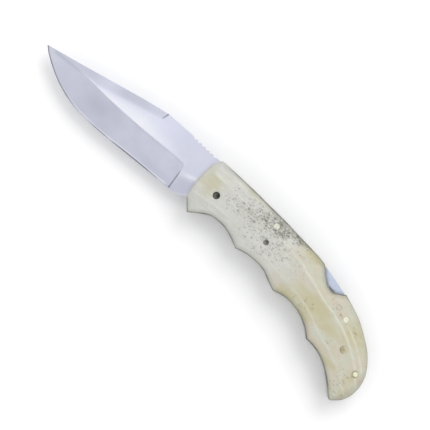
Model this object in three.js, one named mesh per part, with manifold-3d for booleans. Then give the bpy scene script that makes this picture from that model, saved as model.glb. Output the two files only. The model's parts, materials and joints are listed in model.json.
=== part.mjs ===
// Folding pocket knife with a rocking lock bar along its spine and bone scales.
//
// The knife lies open on its right side: its point is towards -X, its butt towards +X, its spine
// towards +Y, and the left side, which shows, towards +Z. Outlines are drawn in millimetres from
// the pivot, in the middle plane of the blade. A point that is a pair in brackets holds a share of
// the blade's or the handle's length, and a height above the pivot.

import * as THREE from 'three';
import { mergeVertices } from 'three/addons/utils/BufferGeometryUtils.js';
import Module from 'manifold-3d';

const wasm = await Module();
wasm.setup();

// Across the knife, from the middle plane outwards
const BLADE_THICKNESS = 3.0;
const WASHER_THICKNESS = 0.25;
const SIDE_PLAY = 0.1; // beside the blade, the lock bar and its spring
const LINER_THICKNESS = 1.2;
const SCALE_THICKNESS = 4.6; // at the flat middle of a scale

// Blade
const RICASSO_LENGTH = 18.4; // pivot to the plunge line
const GROUND_LENGTH = 81.4; // plunge line to the point
const SPINE_HEIGHT = 12.9; // pivot to the back of the blade
const TANG_SPINE = 12.5; // the same, beside the lock bar
const FALSE_EDGE_SHARE = 0.258;
const FALSE_EDGE_ANGLE = 13.5;
const FALSE_EDGE_LINE = [[FALSE_EDGE_SHARE, 9.3], [0.67, 1.1]];
const POINT_LOW = 0.1; // foot and top of the point, which is blunt by a hair
const POINT_TOP = 0.15;
const CLIP = [[0.41, 10.6], [0.634, 6.6], [1, POINT_TOP]];
const EDGE = [
  [0, -11.5], [0.1, -11.9], [0.3, -12.6], [0.5, -13.2], [0.65, -12.7],
  [0.75, -10.95], [0.85, -7.85], [0.94, -3.7], [1, POINT_LOW],
];
const GRIND_LINE = [
  [0, 0.9], [0.1, 0.85], [0.25, 0.1], [0.45, -0.1], [0.6, 0.3], [0.7, 0.85], [0.8, 0.85],
  [0.9, 0.5], [1, POINT_TOP],
];
const EDGE_THICKNESS = 0.4; // behind the sharpened strip
const NARROW_BEVEL = 4; // where the ground bevel is narrower, it gets no steeper
const SHARP_WIDTH = 0.7;
const SHARP_THICKNESS = 0.04;
const PLUNGE_RADIUS = 2.2;
const HEEL_NICK = 1.2; // bite at the foot of the plunge line
const GRIP_NOTCHES = 6;
const GRIP_PITCH = 2.3;
const GRIP_WIDTH = 1.8;
const GRIP_DEPTH = 0.6;
const GRIP_START = 12.1; // pivot to the middle of the first notch
const HEEL = { x: 14.3, y: -11.3 }; // lower corner of the ricasso
const HEEL_END = { x: 10.6, y: -9.3 }; // where the rounded corner ends, just in front of the handle

// Tang and lock
const TANG_RADIUS = 7.3;
const TANG_FOOT = -115; // where the tang's round begins, in degrees from the butt
const NOTCH_DEPTH = 1.2; // of the notch for the hook, and of the flat for the closed blade
const CLOSED_ANGLE = 163;
const LOCK_TRAVEL = 2.0; // degrees that the lock bar rocks
const LIFT_GAP = 0.2; // between the tang's round and the lifted hook
const HOOK_FRONT = -5.2;
const HOOK_REAR = -0.2;
const HOOK_PLAY = 0.12;
const HOOK_HEIGHT = 1.2;

// Lock bar and its spring
const BAR_SINK = 0.15; // below the spine of the handle
const BAR_REAR_ANGLE = 1.3; // by which the rear of its back is cut lower
const BAR_END_SHARE = 0.74;
const BAR_REAR_GAP = 0.5;
const BAR_UNDERSIDE = [
  [0.16, 8.6], [0.21, 7.45], [0.25, 7.1], [0.287, 6.4], [0.32, 5.3], [0.348, 4.9], [0.38, 5.0],
  [0.45, 5.2], [0.52, 4.7], [0.6, 3.9], [0.667, 3.15], [BAR_END_SHARE, 0.9],
];
const SPRING_THICKNESS = 1.0;
const SPRING_LINE = [
  [0.84, -7.7], [0.79, -5.75], [0.745, -4.0], [0.693, -1.7], [0.64, 0.9], [0.592, 3.3],
];
const SPRING_PLAY = 0.05;
const SPRING_END_GAP = 0.3;

// Handle
const HANDLE_FRONT = 10.7; // pivot to the front end of the scales
const BUTT_COVER = 3.0; // by which the handle is longer than the closed blade reaches
const LINER_LIP = 0.5; // by which the liners stand out in front of the scales
const FACET_ANGLE = 16;
const FLAT_HALF_WIDTH = 4.8;
const FLAT_MIDDLE = [
  [-0.05, 1.8], [0.18, 1.0], [0.36, -0.6], [0.52, -3.0], [0.667, -6.9], [0.8, -11.9], [0.887, -16.8],
  [0.95, -21.6], [1.03, -29],
];
const FRONT_CORNER = [0.03, 13.2];
const SPINE = [
  FRONT_CORNER, [0.182, 12.9], [0.27, 12.35], [0.359, 11.85], [0.447, 10.95], [0.535, 10.1],
  [0.579, 9.35], [0.636, 8.0], [0.696, 6.3], [0.727, 5.35], [0.799, 2.4], [0.843, 0], [0.887, -3.2],
  [0.931, -7],
];
const THUMB_NOTCH = [
  [0.57, 10.1], [0.592, 8.5], [0.614, 5.7], [0.636, 3.8], [0.663, 2.6], [0.685, 2.8], [0.711, 4.2],
  [0.731, 5.8],
];
const BUTT = [
  [0.958, -10.2], [0.978, -13.4], [0.993, -17], [1, -21.5], [0.996, -26], [0.982, -30], [0.958, -33],
  [0.944, -34], [0.93, -33.2],
];
const GROOVES = [
  [[0.887, -28.7], [0.843, -24.9], [0.799, -22.3], [0.755, -21.1], [0.722, -20.9]],
  [[0.685, -17.4], [0.641, -14.9], [0.596, -13.6], [0.552, -13.4], [0.5, -14.7]],
  [[0.464, -13], [0.42, -10.8], [0.376, -10.2], [0.328, -10.5], [0.284, -11.8]],
  [[0.248, -9.9], [0.209, -8.4], [0.165, -7.9], [0.121, -8.8], [0.051, -14.1]],
];
const CHIN = [[0.024, -10.8], [0.01, -8.6]];
const FRONT = [[0.003, -4], [0, 1], [0.003, 6.5], [0.008, 10], [0.018, 12.1]];

// Backspacer
const NEST_GAP = 1.0; // between the closed blade and the backspacer
const NEST_SHARE = 0.5; // from this share of the edge on, it follows the edge
const TIP_COVER = 1.4; // degrees that it goes on past the closed point

// Pins, sunk by so much below the flat of the scales
const PIN_PLAY = 0.05;
const WASHER_DIAMETER = 11;
const PIVOT_PIN = { diameter: 3.2, sunk: 4.0 };
const LOCK_PIN = { at: [0.348, 7.4], diameter: 2.8, sunk: 0 };
const SCALE_RIVET = { at: [0.3577, -0.9], diameter: 2.8, sunk: 2.6 };
const REAR_PIN = { at: [0.787, -2.8], diameter: 2.5, sunk: 0 };
const SPACER_PIN = { at: [0.856, -13.4], diameter: 3.2, sunk: 0.9 };
const BUTT_PIN = { at: [0.957, -18.1], diameter: 2.5, sunk: 0 };
const BUTT_COUNTERBORE = { diameter: 3.8, depth: 0.8 };

// Steps of the curves
const ROUND_SIDES = 32;
const BLADE_STEPS = 36;
const SPINE_STEPS = 40;
const CURVE_STEPS = 3;
const FACET_STEPS = 24;

// Places worked out from the sizes
const SLOT_HALF = BLADE_THICKNESS / 2 + SIDE_PLAY + WASHER_THICKNESS;
const LINER_TOP = SLOT_HALF + LINER_THICKNESS;
const SCALE_TOP = LINER_TOP + SCALE_THICKNESS;
const POINT_REACH = RICASSO_LENGTH + GROUND_LENGTH;
const BAR_HALF = SLOT_HALF - SIDE_PLAY;
const HANDLE_LENGTH = HANDLE_FRONT + POINT_REACH + BUTT_COVER;
const PIVOT = new THREE.Vector2(0, 0);
const BEYOND = 2; // by which a cutter passes the surface that it cuts

const degrees = THREE.MathUtils.degToRad;
const handleX = (share) => share * HANDLE_LENGTH - HANDLE_FRONT;
const bladeX = (share) => -RICASSO_LENGTH - share * GROUND_LENGTH;
const onHandle = ([share, height]) => new THREE.Vector2(handleX(share), height);
const onBlade = ([share, height]) => new THREE.Vector2(bladeX(share), height);

// Evenly spaced values from one to the other, both included
function steps(from, to, count) {
  return Array.from({ length: count + 1 }, (_, i) => from + ((to - from) * i) / count);
}

// Smooth height over shares of a length, through the given points
function profile(points) {
  const shares = Float32Array.from(points, ([share]) => share);
  const heights = Float32Array.from(points, ([, height]) => height);
  const curve = new THREE.CubicInterpolant(shares, heights, 1, new Float32Array(1));
  return (share) => curve.evaluate(share)[0];
}

const spineHeight = profile(SPINE);
const edgeHeight = profile(EDGE);
const grindHeight = profile(GRIND_LINE);

// Closed solid of a closed geometry
function solid(geometry) {
  const bare = geometry.clone();
  bare.deleteAttribute('normal');
  bare.deleteAttribute('uv');
  const merged = mergeVertices(bare);
  return new wasm.Manifold(
    new wasm.Mesh({
      numProp: 3,
      vertProperties: merged.attributes.position.array,
      triVerts: Uint32Array.from(merged.index.array),
    }),
  );
}

function geometryOf(body) {
  const { vertProperties, triVerts } = body.getMesh();
  const geometry = new THREE.BufferGeometry();
  geometry.setAttribute('position', new THREE.BufferAttribute(Float32Array.from(vertProperties), 3));
  geometry.setIndex(new THREE.BufferAttribute(Uint32Array.from(triVerts), 1));
  geometry.computeVertexNormals();
  return geometry;
}

// The same geometry on the knife's other side
function otherSide(geometry) {
  const turned = geometry.clone().scale(1, 1, -1);
  const index = turned.index.array;
  for (let i = 0; i < index.length; i += 3) {
    [index[i], index[i + 1]] = [index[i + 1], index[i]];
  }
  turned.computeVertexNormals();
  return turned;
}

// Plate of an outline between two heights
function plate(outline, bottom, top) {
  const settings = { depth: top - bottom, bevelEnabled: false, curveSegments: CURVE_STEPS };
  return solid(new THREE.ExtrudeGeometry(outline, settings).translate(0, 0, bottom));
}

// Round bar that stands across the knife
function rod(place, diameter, bottom, top) {
  const geometry = new THREE.CylinderGeometry(diameter / 2, diameter / 2, top - bottom, ROUND_SIDES);
  geometry.rotateX(Math.PI / 2);
  return solid(geometry.translate(place.x, place.y, (bottom + top) / 2));
}

// The body with a hole for each pin
function drill(body, pins, bottom, top) {
  return pins.reduce((left, pin) => {
    const hole = rod(pinPlace(pin), pin.diameter + 2 * PIN_PLAY, bottom, top);
    return left.subtract(hole);
  }, body);
}

// Body through rings of four corners each, closed by its first and last ring
function loft(rings) {
  const corners = 4;
  const index = [0, 1, 2, 0, 2, 3];
  for (let ring = 0; ring + 1 < rings.length; ring += 1) {
    for (let i = 0; i < corners; i += 1) {
      const a = ring * corners + i;
      const b = ring * corners + ((i + 1) % corners);
      index.push(a, a + corners, b, b, a + corners, b + corners);
    }
  }
  const last = (rings.length - 1) * corners;
  index.push(last, last + 2, last + 1, last, last + 3, last + 2);
  const geometry = new THREE.BufferGeometry().setFromPoints(rings.flat());
  geometry.setIndex(index);
  return solid(geometry);
}

// Cutter whose sloping face runs from an inner line to an outer one. Each station holds both
// lines' points as x, y and z, and the cutter lies above them. The side is 1 or -1.
function slopeCutter(stations, ceiling, side) {
  const [first, second] = stations;
  const across = new THREE.Vector2(first.outer.x - first.inner.x, first.outer.y - first.inner.y);
  const ahead = new THREE.Vector2(second.inner.x - first.inner.x, second.inner.y - first.inner.y);
  const outwards = across.cross(ahead) * side > 0;
  const rings = stations.map(({ inner, outer }) => {
    const ring = [
      new THREE.Vector3(inner.x, inner.y, inner.z * side),
      new THREE.Vector3(outer.x, outer.y, outer.z * side),
      new THREE.Vector3(outer.x, outer.y, ceiling * side),
      new THREE.Vector3(inner.x, inner.y, ceiling * side),
    ];
    return outwards ? ring : ring.reverse();
  });
  return loft(rings);
}

const pinPlace = (pin) => (pin === PIVOT_PIN ? PIVOT : onHandle(pin.at));
const closed = (point, further = 0) => point.clone().rotateAround(PIVOT, degrees(CLOSED_ANGLE - further));
const sideways = (along, distance) => new THREE.Vector2(-along.y, along.x).multiplyScalar(distance);

// Blade

function bladeOutline() {
  const outline = new THREE.Shape();
  const notch = { front: HOOK_FRONT - HOOK_PLAY, rear: HOOK_REAR + HOOK_PLAY };
  const notchFloor = TANG_RADIUS - NOTCH_DEPTH;
  const relief = 90 - CLOSED_ANGLE;
  const reliefHalf = THREE.MathUtils.radToDeg(Math.acos(notchFloor / TANG_RADIUS));
  const notchEnd = THREE.MathUtils.radToDeg(Math.acos(notch.rear / TANG_RADIUS));

  outline.moveTo(...onBlade([1, edgeHeight(1)]));
  for (const share of steps(1, 0, BLADE_STEPS).slice(1)) {
    outline.lineTo(bladeX(share), edgeHeight(share));
  }
  outline.lineTo(-HEEL.x, HEEL.y);
  outline.quadraticCurveTo((-HEEL.x - HEEL_END.x) / 2, HEEL.y, -HEEL_END.x, HEEL_END.y);
  outline.absarc(0, 0, TANG_RADIUS, degrees(TANG_FOOT), degrees(relief - reliefHalf), false);
  outline.absarc(0, 0, TANG_RADIUS, degrees(relief + reliefHalf), degrees(notchEnd), false);
  outline.lineTo(notch.rear, notchFloor);
  outline.lineTo(notch.front, notchFloor);
  outline.lineTo(notch.front, TANG_SPINE);
  for (let i = 0; i < GRIP_NOTCHES; i += 1) {
    const middle = -GRIP_START - i * GRIP_PITCH;
    const height = THREE.MathUtils.lerp(TANG_SPINE, SPINE_HEIGHT, (i + 1) / GRIP_NOTCHES);
    outline.lineTo(middle + GRIP_WIDTH / 2, height);
    outline.quadraticCurveTo(middle, height - 2 * GRIP_DEPTH, middle - GRIP_WIDTH / 2, height);
  }
  outline.lineTo(bladeX(FALSE_EDGE_SHARE), SPINE_HEIGHT);
  outline.splineThru(CLIP.map(onBlade));
  return outline;
}

// Half the thickness that the false edge leaves at a point of the blade
function falseEdgeTop(share, height) {
  const [rear, front] = FALSE_EDGE_LINE.map(onBlade);
  const slope = (rear.y - front.y) / (rear.x - front.x);
  const above = height - front.y - (bladeX(share) - front.x) * slope;
  return BLADE_THICKNESS / 2 - above * Math.cos(Math.atan(slope)) * Math.tan(degrees(FALSE_EDGE_ANGLE));
}

function falseEdgeCutter(side) {
  const [rear, front] = FALSE_EDGE_LINE.map(onBlade);
  const slope = (rear.y - front.y) / (rear.x - front.x);
  const stations = [1 + BEYOND / GROUND_LENGTH, FALSE_EDGE_SHARE].map((share) => {
    const line = front.y + (bladeX(share) - front.x) * slope;
    const [low, high] = [line - BEYOND, line + SPINE_HEIGHT];
    return {
      inner: { x: bladeX(share), y: low, z: falseEdgeTop(share, low) },
      outer: { x: bladeX(share), y: high, z: falseEdgeTop(share, high) },
    };
  });
  return slopeCutter(stations, BLADE_THICKNESS, side);
}

// The ground bevel runs from the grind line down to the edge. Behind the plunge radius it gets
// shallower along a quarter circle.
function bevelCutter(side) {
  const shares = steps(1, 0, BLADE_STEPS).filter((share) => share * GROUND_LENGTH > PLUNGE_RADIUS);
  const ahead = [1 + BEYOND / GROUND_LENGTH, ...shares].map((share) => ({ share, turn: 0 }));
  const around = steps(0, Math.PI / 2, CURVE_STEPS * 2).map((turn) => ({
    share: ((1 - Math.sin(turn)) * PLUNGE_RADIUS) / GROUND_LENGTH,
    turn,
  }));
  const stations = [...ahead, ...around].map(({ share, turn }) => {
    const grind = grindHeight(share) - (1 - Math.cos(turn)) * PLUNGE_RADIUS;
    const edge = edgeHeight(share);
    const high = Math.min(BLADE_THICKNESS / 2, falseEdgeTop(share, grind));
    const fall = ((high - EDGE_THICKNESS / 2) / Math.max(grind - edge, NARROW_BEVEL)) * Math.cos(turn);
    return {
      inner: { x: bladeX(share), y: grind + BEYOND, z: high + fall * BEYOND },
      outer: { x: bladeX(share), y: edge - BEYOND, z: high - fall * (grind - edge + BEYOND) },
    };
  });
  return slopeCutter(stations, BLADE_THICKNESS, side);
}

// The sharpened strip along the edge
function sharpCutter(side) {
  const fall = (EDGE_THICKNESS / 2 - SHARP_THICKNESS / 2) / SHARP_WIDTH;
  const heel = PLUNGE_RADIUS / GROUND_LENGTH;
  const shares = steps(1, 0, BLADE_STEPS).filter((share) => share > heel);
  const stations = [1 + BEYOND / GROUND_LENGTH, ...shares, heel / 2].map((share) => {
    const lift = share < heel ? EDGE_THICKNESS : 0;
    const edge = edgeHeight(share);
    return {
      inner: { x: bladeX(share), y: edge + BEYOND, z: SHARP_THICKNESS / 2 + fall * BEYOND + lift },
      outer: { x: bladeX(share), y: edge - BEYOND, z: SHARP_THICKNESS / 2 - fall * BEYOND + lift },
    };
  });
  return slopeCutter(stations, BLADE_THICKNESS, side);
}

function blade() {
  const nick = { x: bladeX(0), y: edgeHeight(0) - HEEL_NICK / 4 };
  const flat = plate(bladeOutline(), -BLADE_THICKNESS / 2, BLADE_THICKNESS / 2);
  let body = drill(flat, [PIVOT_PIN], -SLOT_HALF, SLOT_HALF);
  body = body.subtract(rod(nick, HEEL_NICK, -SLOT_HALF, SLOT_HALF));
  for (const side of [1, -1]) {
    for (const cutter of [falseEdgeCutter, bevelCutter, sharpCutter]) {
      body = body.subtract(cutter(side));
    }
  }
  return geometryOf(body);
}

// Lock bar and spring

function lockBar() {
  const outline = new THREE.Shape();
  const pin = pinPlace(LOCK_PIN);
  const tip = TANG_RADIUS + LIFT_GAP;
  const top = (x) => {
    const lowered = Math.max(0, x - pin.x) * Math.tan(degrees(BAR_REAR_ANGLE));
    return spineHeight((x + HANDLE_FRONT) / HANDLE_LENGTH) - BAR_SINK - lowered;
  };
  const front = top(HOOK_FRONT);
  const lean = (front - tip) * Math.tan(degrees(LOCK_TRAVEL));
  outline.moveTo(HOOK_FRONT + lean, front);
  outline.lineTo(HOOK_FRONT, tip);
  outline.lineTo(HOOK_REAR, tip);
  outline.lineTo(HOOK_REAR, tip + HOOK_HEIGHT);
  outline.splineThru(BAR_UNDERSIDE.map(onHandle));
  for (const x of steps(handleX(BAR_END_SHARE), HOOK_FRONT + lean, SPINE_STEPS).slice(0, -1)) {
    outline.lineTo(x, top(x));
  }
  return geometryOf(drill(plate(outline, -BAR_HALF, BAR_HALF), [LOCK_PIN], -SLOT_HALF, SLOT_HALF));
}

// Outline of a strip along the spring's middle line, and past the spring's rear end by so much
function springOutline(thickness, past) {
  const line = new THREE.SplineCurve(SPRING_LINE.map(onHandle));
  const rows = steps(0, 1, FACET_STEPS).map((t) => ({ at: line.getPoint(t), along: line.getTangent(t) }));
  rows[0].at.addScaledVector(rows[0].along, -past);
  const [upper, lower] = [thickness / 2, -thickness / 2].map((offset) =>
    rows.map(({ at, along }) => at.clone().add(sideways(along, offset))),
  );
  return new THREE.Shape([...lower, ...upper.reverse()]);
}

function lockSpring() {
  return geometryOf(plate(springOutline(SPRING_THICKNESS, 0), -BAR_HALF, BAR_HALF));
}

// Handle

function handleOutline(lip) {
  const forward = (point) => onHandle(point).sub(new THREE.Vector2(lip, 0));
  const outline = new THREE.Shape();
  outline.moveTo(...onHandle(FRONT_CORNER));
  outline.splineThru([...FRONT].reverse().map(forward));
  outline.splineThru([...CHIN].reverse().map(forward));
  for (const groove of [...GROOVES].reverse()) {
    outline.lineTo(...onHandle(groove.at(-1)));
    outline.splineThru(groove.slice(0, -1).reverse().map(onHandle));
  }
  outline.splineThru([...BUTT].reverse().map(onHandle));
  for (const share of steps(SPINE.at(-1)[0], SPINE[0][0], SPINE_STEPS).slice(0, -1)) {
    outline.lineTo(handleX(share), spineHeight(share));
  }
  return outline;
}

// Space over the lock bar where the thumb presses it
function thumbNotch() {
  const outline = new THREE.Shape();
  outline.moveTo(...onHandle(THUMB_NOTCH[0]));
  outline.splineThru(THUMB_NOTCH.slice(1).map(onHandle));
  const above = FRONT_CORNER[1] + BEYOND;
  outline.lineTo(handleX(THUMB_NOTCH.at(-1)[0]), above);
  outline.lineTo(handleX(THUMB_NOTCH[0][0]), above);
  return plate(outline, -SCALE_TOP - BEYOND, SCALE_TOP + BEYOND);
}

// Each scale is flat along its middle and slopes away on both sides of it
function facetCutter(direction, side) {
  const middle = new THREE.SplineCurve(FLAT_MIDDLE.map(onHandle));
  const fall = Math.tan(degrees(FACET_ANGLE));
  const reach = SCALE_THICKNESS / fall;
  const stations = steps(0, 1, FACET_STEPS).map((t) => {
    const centre = middle.getPoint(t);
    const along = middle.getTangent(t);
    const inner = sideways(along, direction * (FLAT_HALF_WIDTH - BEYOND)).add(centre);
    const outer = sideways(along, direction * (FLAT_HALF_WIDTH + reach)).add(centre);
    return {
      inner: { x: inner.x, y: inner.y, z: SCALE_TOP + BEYOND * fall },
      outer: { x: outer.x, y: outer.y, z: SCALE_TOP - reach * fall },
    };
  });
  return slopeCutter(stations, SCALE_TOP + BEYOND, side);
}

function grindFacets(body) {
  let ground = body;
  for (const side of [1, -1]) {
    for (const direction of [1, -1]) {
      ground = ground.subtract(facetCutter(direction, side));
    }
  }
  return ground;
}

const THROUGH_PINS = [PIVOT_PIN, LOCK_PIN, REAR_PIN, SPACER_PIN, BUTT_PIN];
function leftLiner() {
  const body = plate(handleOutline(LINER_LIP), SLOT_HALF, LINER_TOP).subtract(thumbNotch());
  return geometryOf(drill(body, [...THROUGH_PINS, SCALE_RIVET], 0, SCALE_TOP));
}

function leftScale() {
  const floor = SCALE_TOP - BUTT_COUNTERBORE.depth;
  const counterbore = rod(pinPlace(BUTT_PIN), BUTT_COUNTERBORE.diameter, floor, SCALE_TOP + BEYOND);
  const body = plate(handleOutline(0), LINER_TOP, SCALE_TOP).subtract(thumbNotch());
  const ground = grindFacets(body).subtract(counterbore);
  return geometryOf(drill(ground, [...THROUGH_PINS, SCALE_RIVET], 0, SCALE_TOP + BEYOND));
}

// A pin across the whole handle, ground flush with the scales or sunk below them
function throughPin(pin) {
  const end = SCALE_TOP - pin.sunk;
  return geometryOf(grindFacets(rod(pinPlace(pin), pin.diameter, -end, end)));
}

function leftScaleRivet() {
  const top = SCALE_TOP - SCALE_RIVET.sunk;
  return geometryOf(rod(pinPlace(SCALE_RIVET), SCALE_RIVET.diameter, SLOT_HALF, top));
}

function leftWasher() {
  const disc = rod(PIVOT, WASHER_DIAMETER, SLOT_HALF - WASHER_THICKNESS, SLOT_HALF);
  return geometryOf(drill(disc, [PIVOT_PIN], 0, LINER_TOP));
}

// All that the backspacer leaves free: the lock bar in front of it, and the closed blade, whose
// edge and point keep a gap to it
function backspacerRoom() {
  const front = handleX(BAR_END_SHARE) + BAR_REAR_GAP;
  const reach = POINT_REACH + NEST_GAP;
  const edge = steps(NEST_SHARE, 1, BLADE_STEPS / 2).map((share) => onBlade([share, edgeHeight(share)]));
  const along = edge.map((point, i) => (edge[i + 1] ?? point).clone().sub(edge[i - 1] ?? point).normalize());
  const beside = edge.map((point, i) => closed(sideways(along[i], NEST_GAP).add(point)));
  const sweep = [0, TIP_COVER / 2, TIP_COVER].map((angle) => closed(new THREE.Vector2(-reach, 0), angle));
  const outline = new THREE.Shape([
    new THREE.Vector2(front, reach),
    new THREE.Vector2(front, beside[0].y),
    ...beside.filter((point) => point.x > front),
    ...sweep,
    closed(new THREE.Vector2(-2 * reach, 0), TIP_COVER),
    new THREE.Vector2(-reach, -reach),
    new THREE.Vector2(-reach, reach),
  ]);
  return plate(outline, -SCALE_TOP, SCALE_TOP);
}

function backspacer() {
  const body = plate(handleOutline(0), -SLOT_HALF, SLOT_HALF).subtract(backspacerRoom());
  const slot = springOutline(SPRING_THICKNESS + 2 * SPRING_PLAY, SPRING_END_GAP);
  const slotted = body.subtract(plate(slot, -SCALE_TOP, SCALE_TOP));
  return geometryOf(drill(slotted, [REAR_PIN, SPACER_PIN, BUTT_PIN], -SCALE_TOP, SCALE_TOP));
}

const MATERIALS = {
  steel: { color: 0xc9cdd8, roughness: 0.35, metalness: 0.9 },
  barSteel: { color: 0xb8c4d8, roughness: 0.35, metalness: 0.9 },
  brass: { color: 0xe6dca0, roughness: 0.3, metalness: 0.9 },
  bone: { color: 0xd8d2b8, roughness: 0.45, metalness: 0 },
};

const knife = new THREE.Group();

function place(name, geometry, material) {
  const mesh = new THREE.Mesh(geometry, new THREE.MeshStandardMaterial(MATERIALS[material]));
  mesh.name = name;
  knife.add(mesh);
}

place('blade', blade(), 'steel');
place('lock_bar', lockBar(), 'barSteel');
place('lock_spring', lockSpring(), 'barSteel');
place('backspacer', backspacer(), 'barSteel');
for (const [name, geometry, material] of [
  ['liner', leftLiner(), 'steel'],
  ['scale', leftScale(), 'bone'],
  ['washer', leftWasher(), 'brass'],
  ['scale_rivet', leftScaleRivet(), 'brass'],
]) {
  place(`left_${name}`, geometry, material);
  place(`right_${name}`, otherSide(geometry), material);
}
place('pivot_pin', throughPin(PIVOT_PIN), 'steel');
place('lock_bar_pin', throughPin(LOCK_PIN), 'brass');
place('rear_pin', throughPin(REAR_PIN), 'brass');
place('spacer_pin', throughPin(SPACER_PIN), 'brass');
place('butt_pin', throughPin(BUTT_PIN), 'brass');

// The origin is at the bottom of the lying knife, in the middle of its length and its width
const box = new THREE.Box3().setFromObject(knife);
const middle = box.getCenter(new THREE.Vector3());
knife.position.set(-middle.x, -middle.y, -box.min.z);

const part = new THREE.Group();
part.add(knife);

export default part;
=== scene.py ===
"""Folding pocket knife, open on its right side: the looks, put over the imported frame.

Lengths are in millimetres from the blade's pivot, in the middle plane of the blade, with the point
towards -X, the spine towards +Y and the left side towards +Z. They become metres in the frame's
place only when a mesh is made.
"""
from __future__ import annotations

import json
import logging
import math
from collections.abc import Callable
from dataclasses import dataclass, field
from enum import Enum

import bpy
import numpy as np
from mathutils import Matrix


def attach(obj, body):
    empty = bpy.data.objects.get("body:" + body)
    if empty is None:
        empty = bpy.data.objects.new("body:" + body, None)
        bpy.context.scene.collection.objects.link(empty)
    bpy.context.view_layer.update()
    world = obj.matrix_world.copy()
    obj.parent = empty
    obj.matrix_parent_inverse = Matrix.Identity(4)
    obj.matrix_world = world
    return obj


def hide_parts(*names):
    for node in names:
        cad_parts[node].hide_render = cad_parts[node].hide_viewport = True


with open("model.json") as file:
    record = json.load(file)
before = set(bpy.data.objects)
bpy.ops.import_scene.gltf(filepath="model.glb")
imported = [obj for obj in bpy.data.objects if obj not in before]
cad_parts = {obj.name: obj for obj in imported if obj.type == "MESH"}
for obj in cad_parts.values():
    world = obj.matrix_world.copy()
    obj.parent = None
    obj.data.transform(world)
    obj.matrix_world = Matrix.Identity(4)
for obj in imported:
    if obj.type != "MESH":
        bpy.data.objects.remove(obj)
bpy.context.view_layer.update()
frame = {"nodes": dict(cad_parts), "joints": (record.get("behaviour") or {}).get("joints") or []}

LOG = logging.getLogger("knife")
Array = np.ndarray
Pair = tuple[float, float]
Points = tuple[Pair, ...]
Table = tuple[tuple[float, ...], ...]
Color = tuple[float, float, float]
Four = tuple[float, float, float, float]
Piece = bpy.types.Object
Material = bpy.types.Material
Socket = bpy.types.NodeSocket
Tree = bpy.types.NodeTree
Value = Socket | float | tuple[float, ...]
ShadeMask = Callable[[Array, Array], Array]

MM = 0.001
JUMP = 0.004  # half the way between two rings that make an upright wall
THIN = 0.002  # least height of the handle, at its pointed ends
SHARP = math.radians(38.0)  # faces that meet at more than this keep a hard edge
ROUND = np.linspace(0, 2 * math.pi, 64, endpoint=False)  # angles round a circle
WHITE = (1.0, 1.0, 1.0)
JOINTS = {joint["name"]: joint for joint in frame["joints"]}
PIVOT = np.array(JOINTS["blade_fold"]["pos_m"]) / MM


class Side(Enum):
    """The two sides of the knife, as the sign of Z."""

    LEFT = 1
    RIGHT = -1


# Lines and surfaces


@dataclass(frozen=True)
class Profile:
    """Height over x: cubic Hermite spans whose slopes are the mean of the slopes beside each point."""

    points: Points

    def __call__(self, x: Array) -> Array:
        """Evaluates the profile.

        Args:
            x: Places along the knife.

        Returns:
            Heights at these places, held level past the ends.
        """
        xs, ys = np.array(sorted(self.points)).T
        slopes = np.gradient(ys, xs)
        x = np.clip(x, xs[0], xs[-1])
        i = np.clip(np.searchsorted(xs, x) - 1, 0, len(xs) - 2)
        span = xs[i + 1] - xs[i]
        t = (x - xs[i]) / span
        rise = ys[i + 1] - ys[i]
        lean_in = slopes[i] * span - rise
        lean_out = rise - slopes[i + 1] * span
        return ys[i] + t * rise + t * (1 - t) * ((1 - t) * lean_in + t * lean_out)


def smooth_line(points: Points, per_span: int = 14) -> Array:
    """Line through points: uniform Catmull-Rom, where each end slope is half its neighbours' chord.

    Args:
        points: Points that the line passes.
        per_span: Steps between two of them.

    Returns:
        An array of x and y, one row a step.
    """
    p = np.array(points, float)
    before, after = np.vstack([p[:1], p[:-1]])[:-1], np.vstack([p[1:], p[-1:]])[1:]
    start, end = p[:-1, None], p[1:, None]
    out, into = (end - before[:, None]) / 2, (after[:, None] - start) / 2
    t = np.linspace(0, 1, per_span, endpoint=False)[None, :, None]
    cubic = (2 * start - 2 * end + out + into) * t**3 + (-3 * start + 3 * end - 2 * out - into) * t**2
    return np.vstack([(cubic + out * t + start).reshape(-1, 2), p[-1:]])


def joined(lines: tuple[Points, ...]) -> Array:
    """Several smooth lines, one after the other, with a corner wherever two meet."""
    return np.vstack([smooth_line(line) for line in lines])


def distance(x: Array, y: Array, line: Array, keep_side: bool = False) -> Array:
    """Distance from points to a line of short straight pieces: the least over the pieces.

    Args:
        x: Places along the knife.
        y: Heights, in the same shape.
        line: Points of the line.
        keep_side: Whether points to the right of the line's direction count as negative.

    Returns:
        The distance of each point.
    """
    step = np.diff(line, axis=0)
    keep = np.hypot(*step.T) > 1e-9
    a, step = line[:-1][keep], step[keep]
    best, signed = np.full(x.size, np.inf), np.empty(x.size)
    points = np.stack([x.ravel(), y.ravel()], 1)
    rows = np.arange(len(points))
    at_once = 64
    for start in range(0, len(a), at_once):
        part_a, part = a[start : start + at_once], step[start : start + at_once]
        to = points[:, None] - part_a[None]
        t = np.clip((to * part).sum(2) / (part * part).sum(1), 0, 1)
        gap = to - t[..., None] * part
        size = np.hypot(gap[..., 0], gap[..., 1])
        nearest = size.argmin(1)
        value = size[rows, nearest]
        turn = part[nearest, 0] * to[rows, nearest, 1] - part[nearest, 1] * to[rows, nearest, 0]
        closer = value < best
        signed = np.where(closer, np.where(turn < 0, -value, value), signed)
        best = np.where(closer, value, best)
    return (signed if keep_side else best).reshape(x.shape)


def fade(value: Array, start: float | Array, end: float | Array) -> Array:
    """Smooth step from 0 at the start to 1 at the end, which may be less: t squared times (3 - 2t)."""
    t = np.clip((value - start) / (end - start), 0, 1)
    return t * t * (3 - 2 * t)


def band(value: Array, marks: Four) -> Array:
    """Smooth band, which rises between its first two marks and falls between its last two."""
    return fade(value, marks[0], marks[1]) * fade(value, marks[3], marks[2])


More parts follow.
